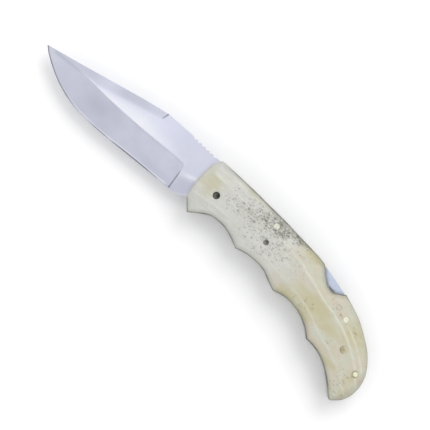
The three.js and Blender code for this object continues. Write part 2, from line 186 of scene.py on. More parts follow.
def bell(value: Array, width: float | Array) -> Array:
    """Bell curve: e to the minus square of the value over the width."""
    return np.exp(-((value / width) ** 2))


def oval(x: Array, y: Array, spot: tuple[float, ...]) -> Array:
    """Soft oval, given by its place, half sizes and strength: a bell curve in each direction."""
    return spot[4] * bell(x - spot[0], spot[2]) * bell(y - spot[1], spot[3])


def along(x: Array, table: Table, column: int = 1) -> Array:
    """A column of a table over its first one: straight between the rows, level past the ends."""
    rows = np.array(table)
    return np.interp(x, rows[:, 0], rows[:, column])


def lesser(a: Array, b: Array, soft: float) -> Array:
    """Smooth minimum: a blend of the two, less soft/4 where they are equal."""
    h = np.clip(0.5 + (b - a) / (2 * soft), 0, 1)
    return b + (a - b) * h - soft * h * (1 - h)


def past(value: Array, soft: float) -> Array:
    """Softened ramp, 0 far below and the value far above: soft times the log of 1 + e^(value/soft)."""
    return soft * np.logaddexp(0, value / soft)


def rounded(gap: Array, radius: float) -> Array:
    """Drop of a quarter circle of radius 1: nothing at a gap of the radius or more, 1 at no gap."""
    return 1 - np.sqrt(1 - np.clip(1 - gap / radius, 0, 1) ** 2)


def spaced(parts: list[Array], digits: int, gap: float) -> Array:
    """Places in order, rounded to so many digits, without those that are too close to the one before."""
    places = np.unique(np.concatenate(parts).round(digits))
    return places[np.concatenate([[True], np.diff(places) > gap])]


def crowded(low: Array, high: Array, count: int) -> Array:
    """Rows between two heights for each column, crowded near both in a half cosine wave, without the last."""
    share = 0.5 - 0.5 * np.cos(np.linspace(0, math.pi, count, endpoint=False))
    return low[:, None] + (high - low)[:, None] * share[None]


def shown(name: str, data: bpy.types.ID) -> Piece:
    """Puts a new object in the scene, at the origin.

    Args:
        name: Its name.
        data: Its mesh, camera or lamp.

    Returns:
        The object.
    """
    thing = bpy.data.objects.new(name, data)
    bpy.context.scene.collection.objects.link(thing)
    return thing


def ring_mesh(name: str, rings: Array, masks: dict[str, Array] | None = None) -> Piece:
    """Closed skin through rings of points: quads between neighbours, and a face over each end.

    Args:
        name: Name of the piece.
        rings: Rings by points by x, y and z, in millimetres from the pivot.
        masks: Values for each point, kept as attributes that the materials read.

    Returns:
        The piece, with its faces pointing outwards.
    """
    count, around = rings.shape[:2]
    first = np.arange(count - 1)[:, None] * around + np.arange(around)[None]
    side = np.arange(count - 1)[:, None] * around + (np.arange(around)[None] + 1) % around
    quads = np.stack([first, side, side + around, first + around], 2).reshape(-1, 4)
    flat = rings.reshape(-1, 3)
    a, b, c, d = flat[quads].transpose(1, 0, 2)
    volume = (a * (np.cross(b, c) + np.cross(c, d))).sum()
    ends = [np.arange(around)[::-1], np.arange(around) + (count - 1) * around]
    faces = [*quads.tolist(), *(end.tolist() for end in ends)]
    if volume < 0:
        faces = [face[::-1] for face in faces]
    mesh = bpy.data.meshes.new(name)
    mesh.from_pydata(((flat + PIVOT) * MM).tolist(), [], faces)
    for label, values in (masks or {}).items():
        layer = mesh.attributes.new(label, "FLOAT", "POINT")
        layer.data.foreach_set("value", np.ascontiguousarray(values, np.float32).ravel())
    mesh.polygons.foreach_set("use_smooth", np.ones(len(faces), bool))
    mesh.set_sharp_from_angle(angle=SHARP)
    return shown(name, mesh)


def circles(x: float, y: float, radius: Array) -> tuple[Array, Array]:
    """Places and heights of the points of circles round an axis, one row for each radius."""
    return x + np.outer(radius, np.cos(ROUND)), y + np.outer(radius, np.sin(ROUND))


def turned_mesh(name: str, x: float, y: float, radius: Array, z: Array) -> Piece:
    """Round piece across the knife: a profile of radii and rows of heights, turned round an axis."""
    px, py = circles(x, y, radius)
    return ring_mesh(name, np.stack([px, py, np.broadcast_to(z, px.shape)], 2))


def slab_mesh(
    name: str,
    x: Array,
    y: tuple[Array, Array],
    z: Pair,
    radius: float,
    painted_shade: ShadeMask | None = None,
) -> Piece:
    """Flat bar along the knife: at each place a rectangle whose corners are quarter circles.

    Args:
        name: Name of the piece.
        x: Places of the rings.
        y: Lower and upper heights there.
        z: Near and far side across the knife.
        radius: Radius of the rounded edges, less where the bar is thin.
        painted_shade: Strength of the painted shade at places and heights, from 0 to 1.

    Returns:
        The piece.
    """
    low, high = y[0][:, None], y[1][:, None]
    near, far = z
    thickest, margin, round_steps, flat_steps = 0.4, 0.03, 5, 13
    r = np.minimum(radius, thickest * np.minimum(high - low, far - near))
    bend = np.linspace(0, math.pi / 2, round_steps)[None]
    flat = np.linspace(margin, 1 - margin, flat_steps)
    corners = []
    turns = ((low, near, 1, 1), (high, near, -1, 1), (high, far, -1, -1), (low, far, 1, -1))
    for level, side, up, across in turns:
        angle = math.pi + len(corners) * math.pi / 2 + bend
        around, over = r * np.cos(angle), r * np.sin(angle)
        corners.append(np.stack([level + up * r + around, side + across * r + over], 2))
    section = []
    for corner, after in zip(corners, [*corners[1:], corners[0]]):
        here, there = corner[:, -1:], after[:, :1]
        section += [corner, *(here + share * (there - here) for share in flat)]
    ring = np.concatenate(section, 1)
    wide = np.broadcast_to(x[:, None, None], (*ring.shape[:2], 1))
    masks = {"corner": painted_shade(wide[:, :, 0], ring[:, :, 0])} if painted_shade else None
    return ring_mesh(name, np.concatenate([wide, ring], 2), masks)


def carried(piece: Piece, body: str, node: str, slot: str, finish: Material) -> None:
    """Puts a new piece in a CAD node's place.

    Args:
        piece: The new piece.
        body: Body that it rides on.
        node: CAD node that it stands for.
        slot: Material slot of the record; not used.
        finish: Its material.
    """
    piece.data.materials.append(finish)
    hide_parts(node)
    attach(piece, body)
    LOG.info("%s: %d faces, for %s", piece.name, len(piece.data.polygons), node)


# Materials


class Graph:
    """Adds nodes to one tree. A value may be a number, a colour or another node's socket."""

    def __init__(self, tree: Tree) -> None:
        """Starts on a tree, which it empties."""
        self.tree = tree
        tree.nodes.clear()

    def link(self, value: Socket, socket: Socket) -> None:
        """Leads a value into a socket."""
        self.tree.links.new(value, socket)

    def add(self, kind: str, settings: dict[str, object] | None = None, **inputs: Value) -> bpy.types.Node:
        """Adds a node.

        Args:
            kind: Blender's name of the node's type.
            settings: Properties of the node.
            **inputs: Values by input name, with _ for a space, or i0, i1 and so on by place.

        Returns:
            The node.
        """
        node = self.tree.nodes.new(kind)
        for key, value in (settings or {}).items():
            setattr(node, key, value)
        for key, value in inputs.items():
            by_place = key[0] == "i" and key[1:].isdigit()
            socket = node.inputs[int(key[1:])] if by_place else node.inputs[key.replace("_", " ")]
            if isinstance(value, bpy.types.NodeSocket):
                self.link(value, socket)
            elif socket.type == "RGBA":
                socket.default_value = (*value, 1.0)
            else:
                socket.default_value = value
        return node

    def math(self, operation: str, a: Value, b: Value = 0.0) -> Socket:
        """One sum, held between 0 and 1 only where the operation says so."""
        return self.add("ShaderNodeMath", {"operation": operation}, i0=a, i1=b).outputs[0]

    def times(self, a: Value, b: Value) -> Socket:
        """Product of two numbers."""
        return self.math("MULTIPLY", a, b)

    def plus(self, a: Value, b: Value) -> Socket:
        """Sum of two numbers."""
        return self.math("ADD", a, b)

    def minus(self, a: Value, b: Value) -> Socket:
        """The first number less the second."""
        return self.math("SUBTRACT", a, b)

    def total(self, base: Value, shares: tuple[tuple[Value, float], ...]) -> Value:
        """A number, and added to it each value times its own weight.

        Args:
            base: The number.
            shares: Values and their weights.

        Returns:
            The sum.
        """
        for value, weight in shares:
            base = self.plus(base, self.times(value, weight))
        return base

    def ramp(self, value: Value, low: float, high: float, start: float = 0.0, end: float = 1.0) -> Socket:
        """Smooth step of a value: start below low, end above high."""
        inputs = {"Value": value, "From_Min": low, "From_Max": high, "To_Min": start, "To_Max": end}
        return self.add("ShaderNodeMapRange", {"interpolation_type": "SMOOTHSTEP"}, **inputs).outputs[0]

    def mix(self, share: Value, a: Value, b: Value, blend: str = "MIX") -> Socket:
        """A colour with a share of a second one, mixed in a way that Blender's name for it gives."""
        settings = {"data_type": "RGBA", "blend_type": blend}
        return self.add("ShaderNodeMix", settings, i0=share, i6=a, i7=b).outputs[2]

    def layered(self, base: Socket, layers: tuple[tuple[Value, Value, Value], ...]) -> Socket:
        """A colour with more colours over it.

        Args:
            base: The first colour.
            layers: Mask, strength and colour of each further one.

        Returns:
            The last mix.
        """
        for mask, strength, color in layers:
            base = self.mix(self.times(mask, strength), base, color)
        return base

    def stretched(self, place: Socket, scale: Color) -> Socket:
        """The place with each axis multiplied, so that a pattern gets longer where the number is small."""
        return self.add("ShaderNodeMapping", Vector=place, Scale=scale).outputs[0]

    def noise(self, place: Socket, scale: float | Color, detail: float = 3.0, rough: float = 0.5) -> Socket:
        """Cloudy noise between 0 and 1, with one scale or one for each axis.

        Args:
            place: Where it is read.
            scale: Waves a millimetre, or one number for each axis.
            detail: How many finer waves it has.
            rough: How strong they are.

        Returns:
            Its value.
        """
        if isinstance(scale, tuple):
            place, scale = self.stretched(place, scale), 1.0
        node = self.add("ShaderNodeTexNoise", Vector=place, Scale=scale, Detail=detail, Roughness=rough)
        return node.outputs["Fac"]

    def ovals(self, place: Socket, spots: Table) -> Socket:
        """Mask of soft ovals, the same on both sides of the knife, where the strongest one counts.

        Args:
            place: Place in millimetres from the pivot.
            spots: Place, half sizes and strength of each oval, which has 0 from its rim on.

        Returns:
            The mask.
        """
        total: Value = 0.0
        for x, y, wide, high, strength in spots:
            lie = {"Location": (-x / wide, -y / high, 0.0), "Scale": (1 / wide, 1 / high, 0.0)}
            near = self.add("ShaderNodeMapping", Vector=place, **lie).outputs[0]
            length = self.add("ShaderNodeVectorMath", {"operation": "LENGTH"}, i0=near).outputs["Value"]
            total = self.math("MAXIMUM", total, self.times(self.ramp(length, 0.0, 1.0, 1.0, 0.0), strength))
        return total

    def mark(self, name: str) -> Socket:
        """Values that a mesh keeps at its points."""
        return self.add("ShaderNodeAttribute", {"attribute_name": name}).outputs["Fac"]

    def use(self, tree: Tree, **inputs: Value) -> bpy.types.bpy_prop_collection:
        """Outputs of a shared node group, placed with values of its own."""
        return self.add("ShaderNodeGroup", {"node_tree": tree}, **inputs).outputs

    def finish(self, base: Socket, rough: Socket, height: Socket, relief: float, **inputs: Value) -> None:
        """Ends a material with its shader.

        Args:
            base: Base colour.
            rough: Roughness.
            height: Height of the fine relief.
            relief: How deep that relief is, in millimetres.
            **inputs: More inputs of the shader, with _ for a space.
        """
        bump = self.add("ShaderNodeBump", Height=height, Distance=relief * MM, Strength=0.5).outputs[0]
        shader = self.add("ShaderNodeBsdfPrincipled", Base_Color=base, Roughness=rough, Normal=bump, **inputs)
        self.add("ShaderNodeOutputMaterial", Surface=shader.outputs[0])


def group(
    name: str, inputs: dict[str, float], outputs: tuple[str, ...]
) -> tuple[Graph, Socket, dict[str, Socket]]:
    """Starts a shared node group.

    Args:
        name: Name of the group.
        inputs: Named numbers with their defaults. A place in millimetres comes before them.
        outputs: Names of the numbers that it puts out.

    Returns:
        Its graph, its place socket and the sockets of its inputs and outputs by name.
    """
    tree = bpy.data.node_groups.new(name, "ShaderNodeTree")
    tree.interface.new_socket("Place", in_out="INPUT", socket_type="NodeSocketVector")
    for key, default in inputs.items():
        tree.interface.new_socket(key, in_out="INPUT", socket_type="NodeSocketFloat").default_value = default
    for key in outputs:
        tree.interface.new_socket(key, in_out="OUTPUT", socket_type="NodeSocketFloat")
    graph = Graph(tree)
    start, end = graph.add("NodeGroupInput"), graph.add("NodeGroupOutput")
    sockets = {key: start.outputs[key] for key in inputs} | {key: end.inputs[key] for key in outputs}
    return graph, start.outputs["Place"], sockets


def place_group() -> Tree:
    """Object coordinates as millimetres from the pivot.

    Returns:
        The node group.
    """
    tree = bpy.data.node_groups.new("from_pivot", "ShaderNodeTree")
    tree.interface.new_socket("Place", in_out="OUTPUT", socket_type="NodeSocketVector")
    graph = Graph(tree)
    where = graph.add("ShaderNodeTexCoord").outputs["Object"]
    lie = {"Location": tuple(-PIVOT), "Scale": (1 / MM, 1 / MM, 1 / MM)}
    moved = graph.add("ShaderNodeMapping", Vector=where, **lie)
    graph.add("NodeGroupOutput", i0=moved.outputs[0])
    return tree


def grain_group() -> Tree:
    """Fine lines left by a belt that ran across the knife, with a few deeper ones.

    Returns:
        The node group.
    """
    graph, place, sockets = group("belt_grain", {"Lines a mm": 1.0}, ("Shade", "Height"))
    sized = graph.add("ShaderNodeVectorMath", {"operation": "SCALE"}, i0=place, Scale=sockets["Lines a mm"])
    fine = graph.noise(sized.outputs[0], (1.0, 0.045, 0.3), 1.5)
    deep = graph.noise(sized.outputs[0], (0.37, 0.02, 0.3), 1.0)
    cloudy = graph.noise(place, 0.09, 2.0)
    graph.link(graph.plus(fine, graph.ramp(deep, 0.6, 0.8, 0.0, 0.2)), sockets["Height"])
    graph.link(graph.total(0.0, ((fine, 0.28), (cloudy, 0.72))), sockets["Shade"])
    return graph.tree


def wear_group() -> Tree:
    """Small smears and rubbed places, as a mask, for anything that is handled.

    Returns:
        The node group.
    """
    graph, place, sockets = group("handling", {"Amount": 0.5}, ("Mask",))
    smears = graph.noise(place, (0.14, 0.3, 0.3), 2.0, 0.6)
    graph.link(graph.times(graph.ramp(smears, 0.45, 0.72), sockets["Amount"]), sockets["Mask"])
    return graph.tree


def pore_group() -> Tree:
    """Pores of bone: ragged dots of three sizes, drawn out along the bone, more of them at a high density.

    Returns:
        The node group.
    """
    graph, place, sockets = group("bone_pores", {"Density": 0.2}, ("Mask",))
    ripple = graph.add("ShaderNodeTexNoise", Vector=place, Scale=1.6, Detail=5.0, Roughness=0.7)
    bent = graph.stretched(graph.mix(0.95, place, ripple.outputs["Color"], "ADD"), (0.6, 1.0, 1.0))
    total: Value = 0.0
    for size, reach in ((0.65, 0.5), (1.1, 0.62), (1.7, 0.72)):
        cells = graph.add("ShaderNodeTexVoronoi", Vector=bent, Scale=size)
        draw = graph.times(cells.outputs["Color"], 7.0)
        chosen = graph.math("LESS_THAN", graph.math("FRACT", draw), sockets["Density"])
        small = graph.math("FRACT", graph.times(draw, 5.0))
        far = graph.math("DIVIDE", cells.outputs["Distance"], graph.ramp(small, 0.0, 1.0, 0.4, 1.0))
        dot = graph.times(graph.ramp(far, reach * 0.3, reach, 1.0, 0.0), chosen)
        total = graph.math("MAXIMUM", total, graph.times(dot, graph.ramp(small, 0.0, 0.6, 0.45, 1.0)))
    graph.link(total, sockets["Mask"])
    return graph.tree


@dataclass(frozen=True)
class Shared:
    """The node groups that several finishes use."""

    place: Tree = field(default_factory=place_group)
    grain: Tree = field(default_factory=grain_group)
    wear: Tree = field(default_factory=wear_group)
    pores: Tree = field(default_factory=pore_group)

    def start(self, name: str) -> tuple[Material, Graph, Socket]:
        """Starts a material.

        Args:
            name: Its name.

        Returns:
            The material, its graph and the place in millimetres from the pivot.
        """
        material = bpy.data.materials.new(name)
        material.use_nodes = True
        graph = Graph(material.node_tree)
        return material, graph, graph.use(self.place)[0]


@dataclass(frozen=True)
class HoleShade:
    """Painted shade at one side of an open hole: a soft oval."""

    place: Pair
    size: Pair
    color: Color

    def over(self, graph: Graph, place: Socket, base: Socket) -> Socket:
        """The base colour with the painted shade."""
        return graph.mix(graph.ovals(place, ((*self.place, *self.size, 1.0),)), base, self.color)


@dataclass(frozen=True)
class Steel:
    """Satin steel with belt lines across it, painted highlights along its crests and painted shade in its
    corners.
    """

    name: str
    color: Color
    dark: Color
    roughness: float = 0.28
    lines: float = 5.0
    relief: float = 0.01
    handling: float = 0.4
    polished: Color = (0.93, 0.94, 1.0)
    painted_shade: Color = (0.13, 0.13, 0.15)
    hole_shade: HoleShade | None = None

    def make(self, shared: Shared) -> Material:
        """Builds the material.

        Args:
            shared: The node groups.

        Returns:
            The material.
        """
        material, graph, place = shared.start(self.name)
        grain = graph.use(shared.grain, Place=place, Lines_a_mm=self.lines)
        worn = graph.use(shared.wear, Place=place, Amount=self.handling)["Mask"]
        shade, crest, corner = grain["Shade"], graph.mark("crest"), graph.mark("corner")
        base = graph.mix(graph.ramp(shade, 0.3, 0.7), self.dark, self.color)
        # worn smears are real wear; the crest mask is painted highlight and the corner mask painted shade
        layers = ((worn, 0.25, self.dark), (crest, 0.9, self.polished), (corner, 0.85, self.painted_shade))
        base = graph.layered(base, layers)
        if self.hole_shade:
            base = self.hole_shade.over(graph, place, base)
        rough = graph.total(self.roughness - 0.06, ((shade, 0.12), (worn, 0.08), (corner, 0.25)))
        graph.finish(base, rough, grain["Height"], self.relief, Metallic=1.0)
        return material


@dataclass(frozen=True)
class Brass:
    """Pale brass with a thin tarnish in places."""

    name: str
    color: Color
    tarnish: Color
    roughness: float = 0.28
    aged: float = 0.3
    scratch: float = 0.02
    hole_shade: HoleShade | None = None

    def make(self, shared: Shared) -> Material:
        """Builds the material.

        Args:
            shared: The node groups.

        Returns:
            The material.
        """
        material, graph, place = shared.start(self.name)
        share = graph.times(graph.ramp(graph.noise(place, 0.8, 4.0, 0.6), 0.35, 0.7), self.aged)
        base = graph.mix(share, self.color, self.tarnish)
        if self.hole_shade:
            base = self.hole_shade.over(graph, place, base)
        rough = graph.total(self.roughness, ((share, 0.3),))
        scratches = graph.noise(place, (9.0, 0.8, 1.0), 2.0)
        graph.finish(base, rough, scratches, self.scratch, Metallic=0.9)
        return material


@dataclass(frozen=True)
class Bone:
    """Polished bone: grey and cream in front, paler tan towards the butt, with khaki patches and pores."""

    name: str = "polished_bone"
    front: Color = (0.52, 0.52, 0.485)
    pale: Color = (0.62, 0.62, 0.58)
    tan: Color = (0.525, 0.475, 0.375)
    green: Color = (0.5, 0.505, 0.4)
    khaki: Color = (0.47, 0.44, 0.275)
    pore: Color = (0.09, 0.08, 0.065)
    brown: Color = (0.2, 0.155, 0.1)
    smoke: Color = (0.25, 0.24, 0.2)
    # rim is the colour of the painted shade along the outline, light that of the painted highlight along the
    # ridges
    rim: Color = (0.1, 0.1, 0.075)
    light: Color = (0.69, 0.69, 0.62)
    scatter: Color = (0.0012, 0.001, 0.0007)
    handling: float = 0.6
    pitted: float = 0.08
    patches: Table = (
        (-5.6, 3.0, 15.0, 12.5, 0.6), (14.0, 11.5, 18.0, 4.0, 0.5), (50.0, 8.5, 14.0, 5.0, 0.9),
        (53.0, -12.5, 15.0, 7.0, 0.9), (63.0, -8.0, 24.0, 11.0, 0.85), (76.0, -11.0, 14.0, 7.0, 0.7),
        (89.0, -6.5, 10.0, 4.5, 0.8), (84.0, -22.0, 12.0, 4.0, 0.7), (97.0, -22.0, 8.0, 8.0, 0.55),
        (60.0, -14.5, 12.0, 4.0, 1.0), (86.0, -6.0, 18.0, 12.0, 0.75), (98.5, -28.0, 4.5, 4.5, 0.75),
    )
    crowds: Table = (
        (31.0, 7.5, 9.0, 6.0, 1.7), (27.0, 7.0, 16.0, 8.0, 1.2), (39.0, 9.5, 12.0, 3.5, 1.2),
        (17.0, 4.5, 18.0, 8.0, 0.8), (30.0, 1.0, 30.0, 11.0, 0.5), (74.0, -3.5, 12.0, 3.5, 0.5),
        (83.0, -5.0, 6.0, 3.0, 0.4), (61.0, -10.5, 16.0, 5.0, 0.22), (94.0, -28.0, 9.0, 6.0, 0.4),
        (72.5, -1.0, 7.0, 3.0, 0.6), (96.0, -23.0, 10.0, 7.0, 0.22), (81.0, -14.7, 8.0, 4.0, 0.2),
    )

    def make(self, shared: Shared) -> Material:
        """Builds the material.

        Args:
            shared: The node groups.

        Returns:
            The material.
        """
        material, graph, place = shared.start(self.name)
        x = graph.add("ShaderNodeSeparateXYZ", Vector=place).outputs["X"]
        clouds = graph.noise(place, (0.045, 0.1, 0.1))
        streaks = graph.noise(place, (0.09, 0.4, 0.4), 4.0, 0.6)
        patchy = graph.noise(place, (0.16, 0.24, 0.24), 4.0, 0.6)
        mottled = graph.noise(place, (0.55, 0.8, 0.8), 4.0, 0.7)
        rear = graph.ramp(graph.plus(x, graph.times(graph.minus(clouds, 0.5), 60.0)), 34.0, 66.0)
        lift = graph.ramp(rear, 0.0, 1.0, 1.0, 0.45)
        warm = graph.mix(graph.ramp(patchy, 0.38, 0.58), self.green, self.tan)
        ragged = graph.plus(graph.ovals(place, self.patches), graph.times(graph.minus(patchy, 0.5), 0.9))
        density = graph.plus(graph.ovals(place, self.crowds), 0.06)
        pores = graph.use(shared.pores, Place=place, Density=density)["Mask"]
        smoky = graph.times(graph.ramp(density, 0.4, 1.4), graph.ramp(mottled, 0.62, 0.42))
        base = graph.layered(graph.mix(rear, self.front, warm), (
            (graph.ramp(streaks, 0.4, 0.75, 0.0, 0.6), lift, self.pale),
            (graph.ramp(mottled, 0.45, 0.7, 0.0, 0.5), lift, self.pale),
            # khaki patches with soft, ragged borders
            (graph.ramp(ragged, 0.15, 0.85), 0.9, self.khaki),
            # a smoky stain round the crowds of pores, and the pores
            (smoky, 0.8, self.smoke),
            (pores, graph.ramp(density, 0.2, 1.3, 0.45, 0.75), graph.mix(rear, self.pore, self.brown)),
            # painted shade along the outline, painted highlights along the ridges
            (graph.mark("rim"), graph.ramp(patchy, 0.3, 0.6, 0.7, 1.0), self.rim),
            (graph.mark("ridge"), graph.ramp(streaks, 0.3, 0.6, 0.25, 0.7), self.light),
        ))
        worn = graph.use(shared.wear, Place=place, Amount=self.handling)["Mask"]
        rough = graph.total(0.3, ((worn, 0.15), (pores, 0.3)))
        height = graph.minus(graph.times(streaks, 0.15), pores)
        waxy = {"Subsurface_Weight": 0.06, "Subsurface_Radius": self.scatter, "Subsurface_Scale": 1.0}
        graph.finish(base, rough, height, self.pitted, Coat_Weight=0.15, Coat_Roughness=0.2, **waxy)
        return material


# Pieces


@dataclass(frozen=True)
class Lie:
    """Where the points of the blade lie, in millimetres.

    It has their place along the knife and their height, and how far each one is over the bevel's border,
    in front of the plunge line, above the edge's dark rim, past the false edge's line and under the hollow's.
    """

    x: Array
    y: Array
    over: Array
    ahead: Array
    up: Array
    beyond: Array
    below: Array


@dataclass
class Blade:
    """Clip point blade, ground flat from half its height, with a false edge and a notched spine."""

    half: float = 1.5
    thin: float = 0.012
    plunge: float = -18.4
    plunge_lean: Points = ((-11.5, 0.4), (1.25, -0.65))
    plunge_depth: float = 0.9
    corner_radius: float = 2.2
    point: float = -99.8
    spine: float = 12.9
    tang_spine: float = 12.5
    lowered: Pair = (-25.0, -12.0)
    edge: Points = (
        (-99.8, 0.1), (-97.5, -1.95), (-94.92, -3.75), (-91.0, -6.1), (-87.59, -7.85), (-83.5, -9.6),
        (-79.45, -10.95), (-75.4, -12.0), (-71.31, -12.7), (-65.0, -13.12), (-59.1, -13.2), (-51.0, -13.0),
        (-42.82, -12.6), (-34.5, -12.2), (-26.54, -11.9), (-18.4, -11.5),
    )
    clip: Points = (
        (-99.8, 0.15), (-90.0, 2.2), (-80.0, 4.35), (-70.0, 6.6), (-60.0, 8.8), (-50.0, 10.95), (-39.4, 12.9),
    )
    grind: Points = (
        (-99.8, 0.15), (-91.66, 0.75), (-83.52, 1.2), (-75.38, 1.1), (-67.24, 0.6), (-60.0, 0.35),
        (-54.0, 0.3), (-47.0, 0.35), (-38.75, 0.55), (-32.0, 0.85), (-26.54, 1.1), (-18.4, 1.1),
    )
    heel: Points = ((-18.4, -11.5), (-14.3, -11.3), (-12.4, -10.7), (-10.6, -9.3), (-3.2, -6.6))
    nick: Pair = (-11.8, 0.6)
    hollow: Points = ((-18.4, -3.0), (-16.0, -2.6), (-12.5, -1.4), (-10.0, -0.2))
    hollow_angle: float = 3.4
    hollow_soft: float = 0.6
    hollow_end: Pair = (-8.0, -11.0)
    false_edge: tuple[float, float, float] = (-72.94, 1.1, 0.2445)
    false_edge_rear: float = -39.4
    false_edge_angle: float = 13.5
    crease: float = 0.3
    edge_half: float = 0.2
    bevel_soft: float = 0.03
    bevel_least: float = 4.0
    sharp: Pair = (0.7, 0.02)
    sharp_end: Pair = (-20.8, -19.4)
    notches: tuple[float, ...] = (-12.1, -14.4, -16.7, -19.0, -21.3, -23.6)
    notch_size: Pair = (0.9, 0.6)
    tang_radius: float = 7.3
    hook_room: tuple[float, float, float] = (-5.32, -0.08, 6.1)
    closed_deg: float = 163.0
    softness: float = 0.22
    row_steps: tuple[int, ...] = (7, 20, 14, 12, 5)
    # place, darkness of the painted dark line at the edge's rim, its height, and how bright the painted
    # highlight on the sharpened strip over it is
    edge_look: Table = (
        (-99.0, 1.0, 0.42, 0.0), (-84.0, 0.85, 0.36, 0.1), (-78.0, 0.85, 0.36, 0.3), (-72.0, 0.5, 0.25, 0.5),
        (-66.0, 0.35, 0.2, 0.55), (-60.0, 0.75, 0.3, 0.15), (-55.0, 0.7, 0.3, 0.45), (-52.0, 0.45, 0.25, 0.6),
        (-48.0, 0.85, 0.38, 0.25), (-44.0, 1.0, 0.4, 0.45), (-32.0, 1.0, 0.38, 0.5), (-27.0, 0.7, 0.3, 0.6),
        (-23.0, 0.3, 0.2, 0.65),
    )
    # widths and strengths of the painted highlight band over the bevel and of the painted shade over the
    # false edge
    crest_width: Points = (
        (-76.0, 0.6), (-72.0, 0.8), (-66.0, 2.2), (-60.0, 3.4), (-46.0, 6.0), (-34.0, 3.5), (-24.0, 1.5),
    )
    crest_shine: Points = (
        (-80.0, 0.0), (-75.0, 0.9), (-70.0, 1.0), (-58.0, 0.95), (-46.0, 1.0), (-34.0, 0.5), (-24.0, 0.25),
    )
    swage_span: Pair = (-56.0, 16.6)
    swage_shade: Points = ((-66.0, 0.0), (-60.0, 0.16), (-57.0, 0.18), (-50.0, 0.12), (-43.0, 0.0))
    strip_shine: Four = (0.1, 0.3, 0.45, 0.8)
    plunge_shine: Four = (-12.0, -4.0, -3.2, -0.6)
    bevel_foot: Four = (-98.0, -94.0, -84.0, -74.0)
    # place, half sizes and strength of soft spots: a painted highlight near the point, painted shade on the
    # bevel and in the nick
    glow: tuple[float, ...] = (-93.0, -2.2, 4.0, 1.6, 0.22)
    cloud: tuple[float, ...] = (-66.0, -5.0, 9.0, 5.0, 0.27)
    nick_shade: tuple[float, ...] = (-18.25, -11.1, 0.5916, 0.5916, 1.0)

    def columns(self) -> Array:
        """Places of the rings, closer together at the notches, the plunge line and the false edge's end.

        Returns:
            These places, in order.
        """
        front, rear, _ = self.hook_room
        coarse, fine, middling = 0.7, 0.1, 0.15
        finer_from, notched = self.plunge - 4, (self.notches[-1] - 1.6, self.notches[0] + 1.2)
        tang_turn = np.linspace(rear / self.tang_radius, math.pi / 2 - 0.01, 30)
        return spaced([
            self.point + np.array([0.0, 0.05, 0.15, 0.3, 0.5]),
            np.arange(self.point + 0.8, finer_from, coarse),
            np.arange(self.false_edge_rear - 1.4, self.false_edge_rear + 0.5, fine),
            np.arange(finer_from, self.plunge + 1.2, fine),
            np.arange(*notched, middling),
            np.linspace(notched[1], front - JUMP, 14),
            np.linspace(front + JUMP, rear - JUMP, 12),
            self.tang_radius * np.sin(tang_turn),
        ], 5, 0.003)

    def tang(self, x: Array) -> Array:
        """Height of the round tang: the root of the radius squared less x squared."""
        return np.sqrt(np.clip(self.tang_radius**2 - x**2, 1e-4, None))

    def top(self, x: Array) -> Array:
        """Height of the spine: clip, straight spine with round notches, room for the hook, round tang.

        Args:
            x: Places along the knife.

        Returns:
            The height at each of them.
        """
        height = np.where(x < self.false_edge_rear, Profile(self.clip)(x), self.spine)
        height = height - np.interp(x, self.lowered, (0, self.spine - self.tang_spine))
        reach, depth = self.notch_size
        for middle in self.notches:
            height = height - depth * np.clip(1 - ((x - middle) / reach) ** 2, 0, None)
        front, rear, floor = self.hook_room
        return np.where(x > rear, self.tang(x), np.where(x > front, floor, height))

    def bottom(self, x: Array) -> Array:
        """Height of the edge, and behind it of the heel and of the round tang with a flat for the hook.

        Args:
            x: Places along the knife.

        Returns:
            The height at each of them.
        """
        level, radius = self.nick
        ahead = self.plunge - x
        height = np.where(x > self.plunge + radius, Profile(self.heel)(x), Profile(self.edge)(x))
        nick = level + np.sqrt(np.clip(radius**2 - ahead**2, 0, None))
        height = np.where(np.abs(ahead) < radius, np.maximum(height, nick), height)
        turn = math.radians(90 - self.closed_deg)
        flat = (self.hook_room[2] - x * math.cos(turn)) / math.sin(turn)
        return np.where(x > self.heel[-1][0], np.maximum(-self.tang(x), flat), height)

    def false_line(self, x: Array) -> Array:
        """Height of the line where the false edge begins, a straight one."""
        start, level, slope = self.false_edge
        return level + (x - start) * slope

    def side(self, x: Array, y: Array) -> Array:
        """Half the thickness above the bevel: the flat side, or the false edge past a soft crease.

        Args:
            x: Places along the knife.
            y: Heights.

        Returns:
            Half the thickness at each point.
        """
        lean = math.cos(math.atan(self.false_edge[2])) * math.tan(math.radians(self.false_edge_angle))
        ended = 9 * fade(x, self.false_edge_rear, self.false_edge_rear + 0.3)
        ground = self.half - (y - self.false_line(x)) * lean + ended
        return lesser(np.full_like(ground, self.half), ground, self.crease)

    def rows(self, x: Array, low: Array, high: Array) -> Array:
        """Heights of the points of each ring, crowded at the edges of every ground face.

        Args:
            x: Places of the rings.
            low: Heights of the edge there.
            high: Heights of the spine there.

        Returns:
            An array of rings by heights.
        """
        tall = high - low
        here, behind = np.minimum(x, self.plunge), x > self.plunge
        smooth_back, before_nick, least, part = -30.0, 0.7, 0.02, 0.1
        foot = self.bottom(here - before_nick * behind)
        crown = self.top(np.where(behind, smooth_back, here))

        def share(level: Array) -> Array:
            """Place of a level between the edge and the spine, from 0 to 1."""
            return np.clip((level - foot) / np.maximum(crown - foot, 1e-6), least, 1 - least)

        middle = share(Profile(self.grind)(here))
        upper = np.clip(share(self.false_line(here)), middle + part * (1 - middle), 1 - part)
        strip = low + np.minimum(self.sharp[0], 2 * part * tall)
        crest = high - np.minimum(self.softness, part * tall)
        levels = [low, strip, low + middle * tall, low + upper * tall, crest, high]
        parts = [crowded(a, b, steps) for a, b, steps in zip(levels, levels[1:], self.row_steps)]
        return np.hstack([*parts, high[:, None]])

